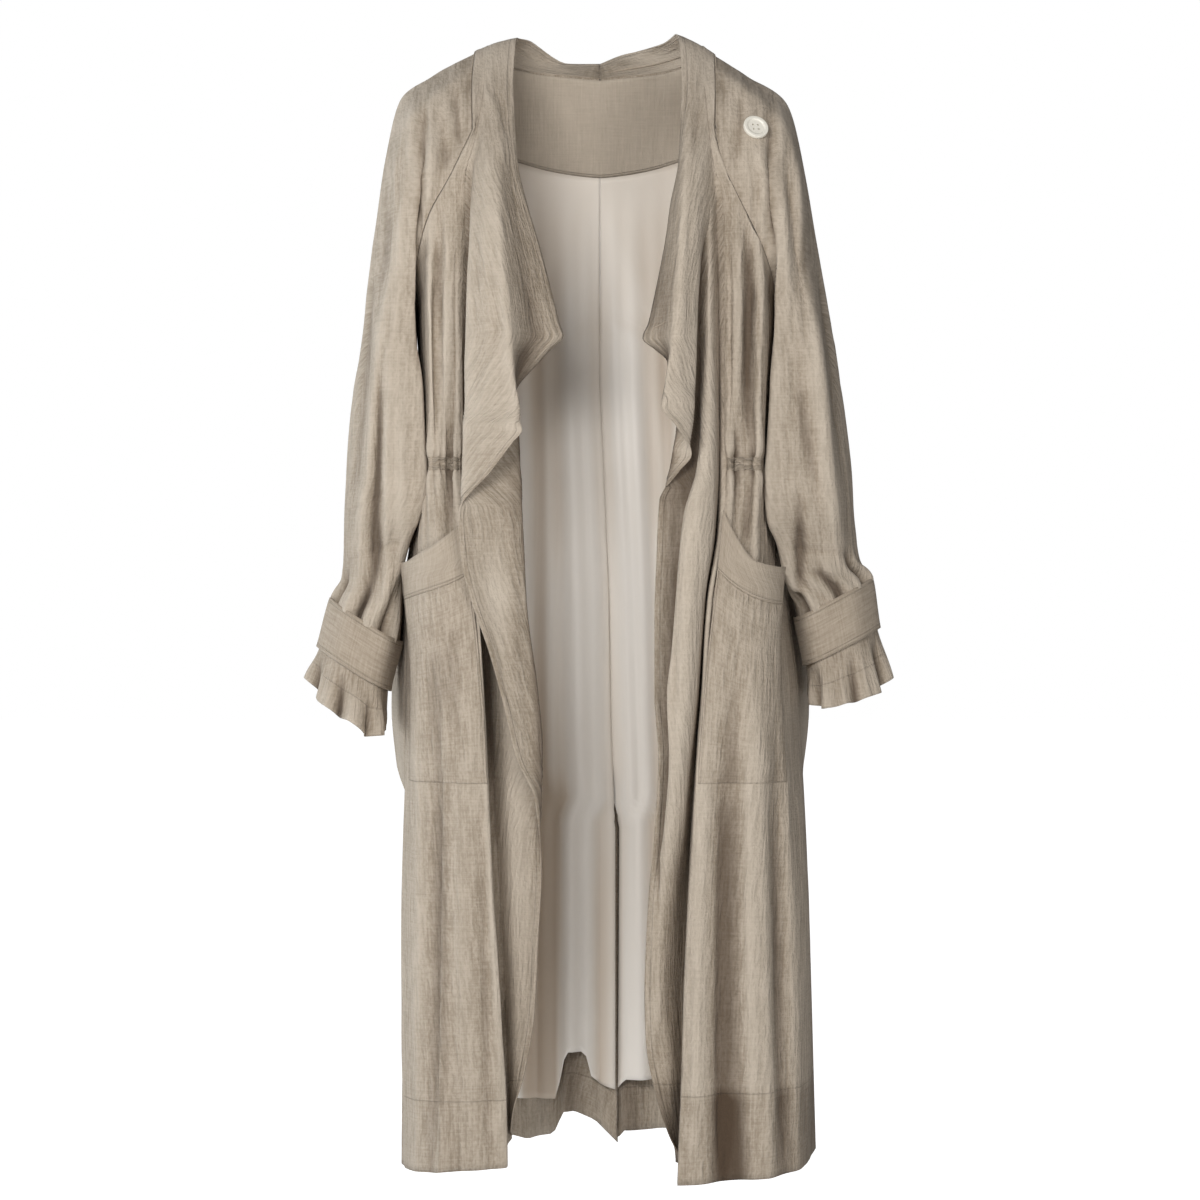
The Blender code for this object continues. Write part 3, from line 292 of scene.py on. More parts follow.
def smoothRows(values, rowsSoft):
    reach = min(int(3 * rowsSoft), len(values) - 1)
    kernel = np.exp(-0.5 * (np.arange(-reach, reach + 1) / rowsSoft) ** 2)
    before = 2 * values[:1] - values[reach:0:-1]
    after = 2 * values[-1:] - values[-2:-reach - 2:-1]
    padded = np.concatenate([before, values, after])
    return sum(weight * padded[i:i + len(values)] for i, weight in enumerate(kernel / kernel.sum()))


def smoothColumns(values, columnsSoft):
    return smoothRows(values.transpose(1, 0, 2), columnsSoft).transpose(1, 0, 2)


def shortened(line, start, end=0.0):
    at = run(line)
    return resampled(line, at, np.linspace(start, at[-1] - end, len(line)))


def section(folds, height, top):
    # a fold that stops inside the cloth runs out flat; one that runs off the free edge just ends there
    corners = []
    for name, rows in folds.items():
        low, high = rows[0][0], rows[-1][0]
        over = max(low - height, height - high, 0)
        end = onFold(rows, min(max(height, low), high))
        if over == 0:
            corners.append((end, 0.0))
        reach = foldFade if height < low else max(min(foldFade, top - high), 1)
        if 0 < over < reach and not (height < low and name in runsToEdge):
            share = over / reach
            corners.append((end, share * share * (3 - 2 * share)))
    kept = [i for i, (_, fade) in enumerate(corners) if fade == 0]
    points = []
    for i, (point, fade) in enumerate(corners):
        if fade > 0:
            before = corners[max(k for k in kept if k < i)][0]
            after = corners[min(k for k in kept if k > i)][0]
            way = after - before
            share = np.clip((point - before) @ way / max(way @ way, 1e-9), 0, 1)
            point = point * (1 - fade) + (before + way * share) * fade
        points.append(point)
    return rounded(points, foldSoftness)


def atHeight(line, height):
    return np.column_stack([line, np.full(len(line), float(height))])


# Sheets: a grid of points, rows up or down the cloth and columns across it

def columnRun(grid):
    step = np.linalg.norm(np.diff(grid, axis=1), axis=2)
    return np.concatenate([np.zeros((len(grid), 1)), np.cumsum(step, axis=1)], axis=1)


def rowRun(grid):
    step = np.median(np.linalg.norm(np.diff(grid, axis=0), axis=2), axis=1)
    return np.concatenate([[0], np.cumsum(step)])[:, None] * np.ones(grid.shape[1])


def facing(grid, way):
    # unit normals of a sheet; way is 1 or -1 and makes them point out of the coat
    normal = np.cross(np.gradient(grid, axis=1), np.gradient(grid, axis=0))
    return way * normal / np.maximum(np.linalg.norm(normal, axis=2), 1e-9)[:, :, None]


def pushed(grid, way, distance):
    # the sheet moved along its own normals
    return grid + facing(grid, way) * distance[..., None]


def margins(u, wide):
    # 0 on both side edges of a sheet, 1 from this far inside them
    return soft(u / wide) * soft((u[:, -1:] - u) / wide)


def quadsOf(grid):
    rows, columns = grid.shape[:2]
    ids = np.arange(rows * columns).reshape(rows, columns)
    return np.stack([ids[:-1, :-1], ids[:-1, 1:], ids[1:, 1:], ids[1:, :-1]], axis=2).reshape(-1, 4).tolist()


def lumps(u, v, seed):
    # smooth random height from -1 to 1 with one lump in each unit square
    table = np.random.default_rng(seed).uniform(-1, 1, (64, 64))
    i, j = np.floor(u).astype(int), np.floor(v).astype(int)
    a, b = u - i, v - j
    a, b = a * a * (3 - 2 * a), b * b * (3 - 2 * b)
    low = table[i % 64, j % 64] * (1 - a) + table[(i + 1) % 64, j % 64] * a
    high = table[i % 64, (j + 1) % 64] * (1 - a) + table[(i + 1) % 64, (j + 1) % 64] * a
    return low * (1 - b) + high * b


def crinkle(u, v, seed):
    # the cloth's own soft unevenness: wide slow waves, then narrow ones, all longer than wide
    return (1.3 * lumps(u / 48, v / 260, seed) + 0.8 * lumps(u / 22, v / 120, seed + 1)
            + 0.45 * lumps(u / 11, v / 55, seed + 2))


def creases(grid, rows):
    # soft troughs and ridges: a row is (from across, from height, to across, to height, width, depth)
    u, v = grid[:, :, 0], grid[:, :, 2]
    moved = np.zeros(u.shape)
    for u0, v0, u1, v1, width, depth in rows:
        long = math.hypot(u1 - u0, v1 - v0)
        way = (u1 - u0) / long, (v1 - v0) / long
        t = ((u - u0) * way[0] + (v - v0) * way[1]) / long
        off = (u - u0) * way[1] - (v - v0) * way[0]
        ends = np.clip(1 - ((t - 0.5) / 0.62) ** 2, 0, 1) ** 1.5
        moved += depth * ends * np.exp(-(off / width) ** 2)
    return moved


def soft(x):
    x = np.clip(x, 0, 1)
    return x * x * (3 - 2 * x)


def readGrid(values, heights, columnAt, heightAt):
    r = np.interp(heightAt, heights, np.arange(len(heights)))
    r0 = np.clip(np.floor(r).astype(int), 0, len(heights) - 2)
    c0 = np.clip(np.floor(columnAt).astype(int), 0, values.shape[1] - 2)
    a, b = (r - r0)[..., None], (columnAt - c0)[..., None]
    low = values[r0, c0] * (1 - b) + values[r0, c0 + 1] * b
    high = values[r0 + 1, c0] * (1 - b) + values[r0 + 1, c0 + 1] * b
    return low * (1 - a) + high * a


def laidOn(grid, heights, normals, columnAt, heightAt, lift):
    # points of a panel at these columns and heights, moved out along its normals
    way = readGrid(normals, heights, columnAt, heightAt)
    way /= np.maximum(np.linalg.norm(way, axis=2), 1e-9)[:, :, None]
    return readGrid(grid, heights, columnAt, heightAt) + way * lift[..., None]


def gridArea(grid):
    a = grid[1:, :-1] - grid[:-1, :-1]
    b = grid[:-1, 1:] - grid[:-1, :-1]
    return float(np.linalg.norm(np.cross(a, b), axis=2).sum() * mm * mm)


def sheetUv(grid, quietColumn=0):
    # distances from one column, so the weave runs along it
    across = columnRun(grid)
    across = across - across[:, [quietColumn]]
    return [(0, grid.shape[1] - 1, np.stack([across, rowRun(grid)], 2))]


farEdge = 100.0     # stitch distance of cloth with no stitching near it
troughDeep = 5.0    # mm of hollow that gets the full painted shade


def paintedLightAndShade(grid, rows):
    # soft patches of painted light and painted shade on the cloth, placed as they show from the front
    paintedShading = np.zeros(grid.shape[:2])
    for across, height, wide, high, dark in rows:
        x, z = (grid[:, :, 0] - across) / wide, (grid[:, :, 2] - height) / high
        paintedShading += dark * np.exp(-x ** 2 - z ** 2)
    return paintedShading


def hollows(grid, normals):
    # how far each point lies in a trough, from -1 on a crest to 1 in a deep one; the cloth's colour takes
    # painted shade and painted highlight from it
    wide = smoothColumns(smoothRows(grid, 6), 8)
    return np.clip(((wide - grid) * normals).sum(2) / troughDeep, -1, 1)


def choose(piece):
    bpy.ops.object.select_all(action="DESELECT")
    piece.select_set(True)
    bpy.context.view_layer.objects.active = piece


def clothPiece(name, grid, uvParts, thick, material, stitches=None, welded=False, shade=None):
    # uvParts is (first column, last column, uv grid); stitches holds three distances from sewn lines, in mm
    rows, columns = grid.shape[:2]
    uv = np.zeros((rows - 1, columns - 1, 4, 2))
    for first, last, part in uvParts:
        here, after = slice(first, last), slice(first + 1, last + 1)
        uv[:, here] = np.stack([part[:-1, here], part[:-1, after], part[1:, after], part[1:, here]], axis=2)
    mesh = bpy.data.meshes.new(name)
    mesh.from_pydata(grid.reshape(-1, 3) * mm, [], quadsOf(grid))
    layer = mesh.uv_layers.new(name="cloth")
    layer.data.foreach_set("uv", (uv.reshape(-1, 2) * mm).ravel())
    if stitches is None:
        stitches = np.full((rows, columns, 3), farEdge)
    held = mesh.attributes.new("stitches", "FLOAT_VECTOR", "POINT")
    held.data.foreach_set("vector", np.asarray(stitches, float).ravel())
    # the shade attribute holds painted shade (+) and painted highlight (-) for the colour
    paintedShading = mesh.attributes.new("shade", "FLOAT", "POINT")
    paintedShading.data.foreach_set("value", (np.zeros((rows, columns)) if shade is None else shade).ravel())
    mesh.shade_smooth()
    mesh.materials.append(material)
    piece = bpy.data.objects.new(name, mesh)
    bpy.context.collection.objects.link(piece)
    choose(piece)
    if welded:
        weld = piece.modifiers.new("weld", "WELD")
        weld.merge_threshold = 0.05 * mm
        bpy.ops.object.modifier_apply(modifier=weld.name)
    wall = piece.modifiers.new("wall", "SOLIDIFY")
    wall.thickness = thick * mm
    wall.offset = 0.0
    bpy.ops.object.modifier_apply(modifier=wall.name)
    return piece


def settle(piece, node, grid, flat, restsOn):
    area = gridArea(grid)
    whole = flat[0] * flat[1]
    print("  ", piece.name, "cloth", round(area, 4), "cut", flat, "share", round(area / whole, 2))
    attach(piece, "root")
    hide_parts(node)


# Shader nodes

class Wire:
    def __init__(self, tree, socket=None):
        self.tree, self.socket = tree, socket

    def node(self, kind, settings=(), output=0, **inputs):
        made = self.tree.nodes.new(kind)
        for name, value in dict(settings).items():
            setattr(made, name, value)
        for name, value in inputs.items():
            place = int(name[1:]) if name[1:].isdigit() else name
            if isinstance(value, Wire):
                self.tree.links.new(value.socket, made.inputs[place])
            else:
                made.inputs[place].default_value = value
        return Wire(self.tree, made.outputs[output])

    def maths(self, operation, a, b=0.0, clamp=False):
        return self.node("ShaderNodeMath", {"operation": operation, "use_clamp": clamp}, n0=a, n1=b)

    def __add__(self, other):
        return self.maths("ADD", self, other)

    def __sub__(self, other):
        return self.maths("SUBTRACT", self, other)

    def __mul__(self, other):
        return self.maths("MULTIPLY", self, other)

    def size(self):
        return self.maths("ABSOLUTE", self)

    def clamped(self):
        return self.maths("ADD", self, 0.0, True)

    def step(self, low, high):
        return self.node("ShaderNodeMapRange", {"interpolation_type": "SMOOTHSTEP"},
                         n0=self, n1=low, n2=high, n3=0.0, n4=1.0)

    def noise(self, across, along, detail=2.0, distort=0.0):
        # a lump is 1/across by 1/along metres
        place = self.node("ShaderNodeVectorMath", {"operation": "MULTIPLY"}, n0=self, n1=(across, along, 1.0))
        return self.node("ShaderNodeTexNoise", {"noise_dimensions": "2D"}, Vector=place, Scale=1.0,
                         Detail=detail, Distortion=distort)

    def part(self, output):
        return self.node("ShaderNodeSeparateXYZ", {}, output, n0=self)

    def mixed(self, low, high):
        return self.node("ShaderNodeMix", {"data_type": "RGBA"}, 2, n0=self, n6=low, n7=high)

    def into(self, shader, socket):
        self.tree.links.new(self.socket, shader.inputs[socket])


def newMaterial(name, **fixed):
    material = bpy.data.materials.new(name)
    material.use_nodes = True
    shader = material.node_tree.nodes["Principled BSDF"]
    for socket, value in fixed.items():
        shader.inputs[socket.replace("_", " ")].default_value = value
    return material, shader, Wire(material.node_tree)


# The trough colour is painted shade for deep folds, and the crest colour a painted highlight for raised ones.
linenLook = {"light": (0.475, 0.405, 0.33, 1), "dark": (0.315, 0.26, 0.20, 1), "seam": (0.20, 0.155, 0.11, 1),
             "trough": (0.09, 0.062, 0.042, 1), "paintedHighlight": (0.61, 0.54, 0.455, 1), "relief": 4.6}


def linenMaterial(name, look, crinkled):
    material, shader, start = newMaterial(name, Roughness=0.92, Specular_IOR_Level=0.12, Sheen_Weight=0.08,
                                          Sheen_Roughness=0.5)
    cloth = start.node("ShaderNodeUVMap", {"uv_map": "cloth"})
    threads = cloth.noise(34, 640, 2) * 0.45 + cloth.noise(640, 30, 2) * 0.55 - 0.5      # slubs both ways
    crush = cloth.noise(230, 34, 1, 0.1)        # fine crinkles down the cloth
    fold = cloth.noise(80, 17, 1, 0.1)          # wider ones
    grain = cloth.noise(1900, 1500, 1)
    crepe = cloth.noise(420, 240, 2)            # the small puckers between them
    patches = cloth.noise(9, 4, 2)
    # The crinkle noises also colour the cloth: painted shade and highlight along the crinkles, on top of
    # their bumps.
    paintedCrinkleShade = (crush - 0.5) * 1.4 + (crepe - 0.5) * 1.3 + (fold - 0.5) * 0.5
    shade = threads * 1.9 + paintedCrinkleShade * crinkled + (patches - 0.5) * 0.3
    shade = (shade + 0.5).clamped()
    colour = shade.mixed(look["dark"], look["light"])
    sewn = start.node("ShaderNodeAttribute", {"attribute_name": "stitches"}, 1)
    groove = sewn.part(0).size().step(0.7, 0.1) + sewn.part(1).size().step(0.7, 0.1)
    joint = sewn.part(2).size().step(0.8, 0.1)
    colour = (groove * 0.10 + joint * 0.14).clamped().mixed(colour, look["seam"])
    # painted shade in troughs and dark patches, painted highlight on crests and light patches, from the shade
    # attribute
    paintedShading = start.node("ShaderNodeAttribute", {"attribute_name": "shade"}, 2)
    colour = (paintedShading * 0.75).clamped().mixed(colour, look["trough"])
    colour = (paintedShading * -0.5).clamped().mixed(colour, look["paintedHighlight"])
    colour.into(shader, "Base Color")
    height = (crush * 0.34 + fold * 0.36 + crepe * 0.2) * crinkled + threads * 0.12 + grain * 0.04
    height = height - groove * 0.14 - joint * 0.25
    relief = look["relief"] * mm
    start.node("ShaderNodeBump", {}, Strength=1.0, Distance=relief, Height=height).into(shader, "Normal")
    return material


# The trough colour is painted shade in the lining's folds, and the crest colour a painted highlight on them.
satinLook = {"light": (0.88, 0.83, 0.77, 1), "dark": (0.81, 0.725, 0.63, 1), "seam": (0.42, 0.34, 0.26, 1),
             "trough": (0.54, 0.425, 0.315, 1), "paintedHighlight": (0.95, 0.92, 0.88, 1), "relief": 3}


def satinMaterial(name, look):
    material, shader, start = newMaterial(name, Roughness=0.48, Specular_IOR_Level=0.4, Sheen_Weight=0.1)
    cloth = start.node("ShaderNodeUVMap", {"uv_map": "cloth"})
    colour = cloth.noise(14, 3, 2).mixed(look["dark"], look["light"])
    sewn = start.node("ShaderNodeAttribute", {"attribute_name": "stitches"}, 1)
    joint = sewn.part(0).size().step(1.5, 0.2)
    colour = (joint * 0.06).mixed(colour, look["seam"])
    # painted shade in the fold troughs, painted highlight on their crests, from the shade attribute
    paintedShading = start.node("ShaderNodeAttribute", {"attribute_name": "shade"}, 2)
    colour = (paintedShading * 0.7).clamped().mixed(colour, look["trough"])
    colour = (paintedShading * -0.6).clamped().mixed(colour, look["paintedHighlight"])
    colour.into(shader, "Base Color")
    height = cloth.noise(30, 4, 2) + cloth.noise(1100, 90, 1) * 0.05 - joint * 0.03
    relief = look["relief"] * mm
    start.node("ShaderNodeBump", {}, Strength=0.22, Distance=relief, Height=height).into(shader, "Normal")
    return material


linen = linenMaterial("linen", linenLook, 1.0)
linenPressed = linenMaterial("linen_pressed", linenLook, 0.35)
satin = satinMaterial("satin", satinLook)
horn, _, _ = newMaterial("horn", Base_Color=(0.86, 0.83, 0.75, 1), Roughness=0.35)
thread, _, _ = newMaterial("thread", Base_Color=(0.42, 0.35, 0.28, 1), Roughness=0.8)


# Fronts, each in one with its lapel and collar

frontLook = {"faceColumns": 96, "drapeColumns": 92, "collarRows": 44, "collarStand": 6, "edgeStitch": 6,
             "gatherReach": 44, "gatherWide": 2.9, "gatherDeep": 5.5, "tuckWide": 1.25, "tuckDeep": 2.4,
             "tuckReach": 15, "pinch": 5.0, "pinchReach": 9, "hemReach": 260, "bandSoft": 9,
             "lapelWeave": 700}      # keeps the lapel's weave and waves apart from the face's
# Soft folds down the faces, then on the lapels:
# (from across, from height, to across, to height, width, depth)
skirtCreases = {
    "right": [(-164, -600, -170, -1150, 14, -14), (-142, -620, -138, -1150, 9, 6),
              (-118, -700, -112, -1150, 9, -6), (-194, -640, -198, -1150, 8, 6),
              (-164, -180, -166, -380, 5, -6), (-154, -150, -156, -390, 5, 4),
              (-146, -170, -147, -380, 4, -4)],
    "left": [(126, -640, 122, -1150, 12, -10), (150, -640, 154, -1150, 10, 7), (180, -640, 186, -1150, 9, -8),
             (100, -760, 95, -1150, 8, 5), (203, -700, 212, -1150, 8, 5), (152, -150, 146, -390, 5, -6),
             (140, -140, 137, -390, 5, 4), (132, -170, 130, -390, 4, -4)],
}
lapelCreases = {
    "right": [(-122, -12, -98, -56, 4, 3), (-108, -20, -92, -70, 6, -3), (-128, -120, -118, -330, 6, -2),
              (-104, -190, -98, -330, 7, -2.5), (-90, -420, -84, -620, 7, -2.5),
              (-112, -480, -88, -700, 7, 2), (-66, -560, -60, -800, 6, -2)],
    "left": [(104, -30, 96, -90, 5, -3), (92, -120, 86, -330, 6, -2.5), (108, -160, 104, -330, 5, -2),
             (78, -470, 68, -760, 6, -3), (92, -500, 84, -800, 6, 2), (62, -620, 58, -900, 5, -2)],
}
# Painted light (-) and painted shade (+) in soft patches on the fronts: (across, height, half width, half
# height, tone)
paintedLightSpots = {
    "right": [(-162, -290, 20, 80, -1.0), (-100, -535, 26, 50, -1.2), (-84, -820, 22, 130, -1.3),
              (-116, -270, 24, 60, 0.25), (-157, -620, 40, 90, 0.45)],
    "left": [(63, -850, 14, 90, 0.4), (60, -240, 20, 70, 0.4), (136, -290, 28, 80, 0.2)],
}
# hemRise lifts the hem at its side, front fold and free edge; hemBand is its doubled height and the painted
# shade on it, where less light comes through the two layers
sides = {
    "right": {"sign": -1, "folds": frontRightFolds, "neckSeam": neckSeamRight, "collarEdge": collarEdgeRight,
              "backRaglan": backRaglanRight, "stations": sleeveRight, "rings": ringsRight,
              "hemRise": {"side": -12, "fold": 4, "edge": 34}, "hemBand": (68, 0.05), "seed": 3},
    "left": {"sign": 1, "folds": frontLeftFolds, "neckSeam": neckSeamLeft, "collarEdge": collarEdgeLeft,
             "backRaglan": backRaglanLeft, "stations": sleeveLeft, "rings": ringsLeft,
             "hemRise": {"side": 4, "fold": -14, "edge": 6}, "hemBand": (84, 0.62), "seed": 21},
}


def frontHeights():
    return np.concatenate([np.linspace(hemHeight, -480, 86)[:-1], np.linspace(-480, -260, 76)[:-1],
                           np.linspace(-260, neckFront, 42)])


def frontLine(side, height):
    folds, rise = side["folds"], side["hemRise"]
    line = section(folds, height, neckFront)
    ridge = int(np.argmin(np.linalg.norm(line - onFold(folds["ridge"], height), axis=1)))
    fade = max(0.0, 1 - (height - hemHeight) / frontLook["hemReach"]) ** 2
    row = atHeight(line, height)
    ends = [0, ridge, len(line) - 1]
    row[:, 2] += fade * np.interp(np.arange(len(line)), ends, [rise["side"], rise["fold"], rise["edge"]])
    return shortened(row[:ridge + 1], seamGap), row[ridge:]


def collarLines(side):
    sign = side["sign"]
    last = len(side["neckSeam"]) - 1
    rows = []
    for place in np.linspace(0, last, frontLook["collarRows"] + 1)[1:]:
        start, end = along(side["neckSeam"], place), along(side["collarEdge"], place)
        stand = frontLook["collarStand"] * (1 - 0.6 * place / last)
        front, back = np.clip(1 - place / 2, 0, 1), np.clip((place - 3) / 2, 0, 1)
        outward = np.array([sign * (1 - front - back) * 0.5, 0.6 * back - 0.9 * front, 0.8])
        rows.append(shortened(rounded([start, (start + end) / 2 + stand * outward, end], 8.0), seamGap))
    rows[-1][:, 0] = sign * seamGap
    return rows


def buildFront(name, side):
    heights, sign, face = frontHeights(), side["sign"], frontLook["faceColumns"]
    faces, drapes = zip(*[frontLine(side, height) for height in heights])
    drape = evenRows(drapes, frontLook["drapeColumns"], 5)
    grid = np.concatenate([evenRows(faces, face, 5), drape[:, 1:]], axis=1)
    top = run(grid[-1]) / run(grid[-1])[-1]
    collar = [resampled(line, run(line) / run(line)[-1], top) for line in collarLines(side)]
    grid = np.concatenate([grid, collar])
    joined = np.exp(-((np.arange(len(grid)) - len(heights)) / 9.0) ** 2)[:, None] * soft(columnRun(grid) / 12)
    grid = grid + (smoothRows(grid, 7) - grid) * joined[..., None]      # no kink where the collar starts
    column = np.arange(grid.shape[1])[None, :]
    across, up = columnRun(grid), rowRun(grid)
    fromEdge = across[:, -1:] - across
    fromRidge = across[:, face:face + 1] - across
    lapel = smoothRows(fromEdge, 9) + frontLook["lapelWeave"]
    u = np.where(column <= face, fromRidge, lapel)
    onFace = soft((face - column) / 4)
    sewn = soft(across / 22) * soft((up[-1:] - up) / 25)
    below = grid[:, :, 2] - waist
    gathered = np.exp(-np.abs(below) / frontLook["gatherReach"]) * onFace
    pleats = np.sin(u / frontLook["gatherWide"] + 2.0 * lumps(u / 16, up / 300, side["seed"] + 9))
    tucks = np.sin(u / frontLook["tuckWide"] + 3.0 * lumps(u / 11, up / 60, side["seed"] + 13))
    tucks = tucks * np.exp(-np.abs(below) / frontLook["tuckReach"]) * onFace
    pinch = np.exp(-(below / frontLook["pinchReach"]) ** 2) * (column <= face)
    moved = crinkle(u, up, side["seed"]) * soft(fromEdge / 12)
    folded = creases(grid, skirtCreases[name]) * soft((face - column) / 8) * sewn
    moved += creases(grid, lapelCreases[name]) * soft((column - face) / 8) * soft(fromEdge / 10)
    moved *= sewn
    moved += (frontLook["gatherDeep"] * gathered * pleats + frontLook["tuckDeep"] * tucks
              - frontLook["pinch"] * pinch) * soft(across / 22)
    covered = underPocket(name, column, grid[:, :, 2])
    sunk = covered * soft((grid[:, :, 2] - pocketLook["bottom"] - 6) / 14)
    moved = moved * (1 - covered) - pocketLook["sink"] * sunk + folded
    normals = facing(grid, -sign)
    plain = grid[:len(heights), :face + 1]
    grid = grid + normals * moved[..., None]
    bandHigh, paintedHemShade = side["hemBand"]
    band = soft((bandHigh + frontLook["bandSoft"] - up) / (2 * frontLook["bandSoft"]))
    # painted shade in troughs and on the doubled hem, painted highlight on crests, and patches of painted
    # light and shade
    shade = hollows(grid, normals) + paintedLightAndShade(grid, paintedLightSpots[name]) + paintedHemShade * band
    parts = [(0, face, np.stack([fromRidge, up], 2)), (face, grid.shape[1] - 1, np.stack([lapel, up], 2))]
    stitches = np.stack([fromEdge - frontLook["edgeStitch"], up - bandHigh, across], 2)
    piece = clothPiece("front" + name.capitalize(), grid, parts, clothThick, linen, stitches, shade=shade)
    settle(piece, "front_" + name, grid, (0.62, 1.3), ["sleeve_" + name])
    return grid, plain, heights


# Patch pockets, their bands and the waist channels lie on the fronts

pocketLook = {
    "right": {"outerTop": -484, "innerTop": -450, "sag": 4, "gape": 17, "first": 24},
    "left": {"outerTop": -490, "innerTop": -446, "sag": 12, "gape": 17, "first": 36},
    "bottom": -725, "foot": 0.7, "lie": 1.2, "puff": 2.0, "sink": 4, "band": 47, "rows": 90, "bandRows": 18,
    "columns": 60, "stitch": 2.5, "bandStitch": 3,
}
channelLook = {"height": 13, "first": 12, "columns": 140, "rows": 12, "lift": 0.7, "pucker": 0.3,
               "edgeWave": 1.2, "thick": 0.8}


def pocketMouth(look, share):
    straight = look["outerTop"] + (look["innerTop"] - look["outerTop"]) * share
    return straight - look["sag"] * 4 * share * (1 - share)


def underPocket(name, column, height):
    # 1 where the pocket covers the front
    look = pocketLook[name]
    share = np.clip((column - look["first"]) / (frontLook["faceColumns"] - look["first"]), 0, 1)
    inside = soft((column - look["first"] - 1) / 4) * (column <= frontLook["faceColumns"])
    underMouth = soft((pocketMouth(look, share) - 10 - height) / 14)
    return inside * underMouth * soft((height - pocketLook["bottom"] + 40) / 36)


def buildPocket(name, side, face, heights):
    # flat on the front at its foot, standing off it at the mouth
    look, out = pocketLook[name], -side["sign"]
    smooth = smoothColumns(smoothRows(face, 12), 16)
    normals, ways = facing(smooth, out), facing(face, out)
    share = np.linspace(0, 1, pocketLook["columns"] + 1)[None, :]
    columnsLeft = face.shape[1] - 1 - look["first"]
    columnAt = look["first"] + share * columnsLeft
    mouth = pocketMouth(look, share)
    joint = mouth - pocketLook["band"]
    for part, bottom, top, count in (
            ("pocket", pocketLook["bottom"] + 0 * share, joint - seamGap, pocketLook["rows"]),
            ("pocketBand", joint + seamGap, mouth, pocketLook["bandRows"])):
        up = np.linspace(0, 1, count + 1)[:, None]
        heightAt = bottom + (top - bottom) * up
        high = (heightAt - pocketLook["bottom"]) / (mouth - pocketLook["bottom"])
        lying = pocketLook["foot"] + pocketLook["lie"] * soft(3 * high)
        lift = lying + look["gape"] * high ** 2 * (0.4 + 0.6 * (1 - share))
        foot = laidOn(face, heights, ways, columnAt + 0 * up, heightAt, lying)
        gaping = laidOn(smooth, heights, normals, columnAt + 0 * up, heightAt, lift)
        grid = foot + (gaping - foot) * soft(1.5 * high - 0.1)[..., None]
        folded = creases(grid, skirtCreases[name]) * soft((1 - share) * columnsLeft / 8)
        grid = pushed(grid, out, folded * soft(1.7 - 2 * high))
        u, v = columnRun(grid), rowRun(grid)
        sewn = margins(u, 15)
        band = part == "pocketBand"
        if not band:
            sewn = sewn * soft(v / 20) * soft((v[-1:] - v) / 15)
        puff = 0.4 * crinkle(u, v, side["seed"] + 40) + pocketLook["puff"]
        grid = pushed(grid, out, sewn * puff * (0.3 if band else 1.0))
        far = np.full_like(u, farEdge)
        besideEdges = np.minimum(u, u[:, -1:] - u) - pocketLook["stitch"]
        stitches = np.stack([v - pocketLook["bandStitch"] if band else besideEdges, far, far], 2)
        # painted light and shade patches, painted shade in troughs and painted highlight on crests
        shade = paintedLightAndShade(grid, paintedLightSpots[name]) + hollows(grid, facing(grid, out))
        node, cut = ("pocket_band_" + name, (0.16, 0.05)) if band else ("pocket_" + name, (0.16, 0.26))
        piece = clothPiece(part + name.capitalize(), grid, sheetUv(grid, -1), clothThick,
                           linenPressed if band else linen, stitches, shade=shade)
        settle(piece, node, grid, cut, ["front_" + name])


def buildChannel(name, side, face, heights):
    normals = facing(face, -side["sign"])
    columnAt = np.linspace(channelLook["first"], face.shape[1] - 1, channelLook["columns"])[None, :]
    up = np.linspace(-1, 1, channelLook["rows"] + 1)[:, None]
    ruck = lumps(columnAt * 0.62, up * 0.5 + 5, side["seed"] + 60)
    heightAt = waist + channelLook["height"] / 2 * up + channelLook["edgeWave"] * ruck
    lift = channelLook["lift"] + channelLook["pucker"] * (1 + ruck) * (1 - up ** 4)
    grid = laidOn(face, heights, normals, columnAt + 0 * up, heightAt, lift)
    piece = clothPiece("waistChannel" + name.capitalize(), grid, sheetUv(grid), channelLook["thick"], linen)
    settle(piece, "waist_channel_" + name, grid, (0.26, 0.022), ["front_" + name])


# Backs, their linings and the back neck facing

backLook = {
    "columns": 70, "rows": 78, "shoulderRows": 34, "hem": -1108, "hemStitch": 46, "waveReach": 140,
    "weaveFrom": 45,        # the column that the weave runs along
    # how far a half reaches past the centre below the vent's top, and how far it lies inside there
    "vent": {"right": (19, 8), "left": (26, 0)}, "ventSlant": 24, "ventPart": 30, "ventWide": 60,
    # how far the hem hangs off its level: (across, up)
    "hemWave": [(-150, 0), (-100, -6), (-78, -14), (-50, -8), (-40, 16), (-28, 18), (-6, 8), (19, -16),
                (24, -4), (70, -3), (150, 0)],
}
liningLook = {
    "columns": 70, "rows": 150, "hem": -1058, "hang": 6, "shadeColumns": 15, "shadeDeep": 4.0,
    "reach": {"right": 18, "left": -22}, "centreGap": 0.01, "driftReach": 110, "waveReach": 260,
    # the centre seam's drift towards the wearer's left: (height, across)
    "seamDrift": [(-776, 0), (-752, 15), (-670, 12), (-536, 10), (-308, 0)],
    "hemWave": [(-120, -6), (-79, -18), (-47, -18), (-37, 34), (-16, 34), (-10, 8), (2, -3), (18, -8),
                (27, 3), (57, 3), (120, 0)],
    # soft folds towards the front: (across at the top, across at the hem, width, depth)
    "folds": [(-78, -92, 12, 13), (-57, -60, 8, 8), (-34, -32, 11, 14), (-14, -12, 7, 6), (12, 24, 9, 10),
              (34, 46, 11, 13), (58, 70, 9, 9), (84, 98, 12, 12)],
}
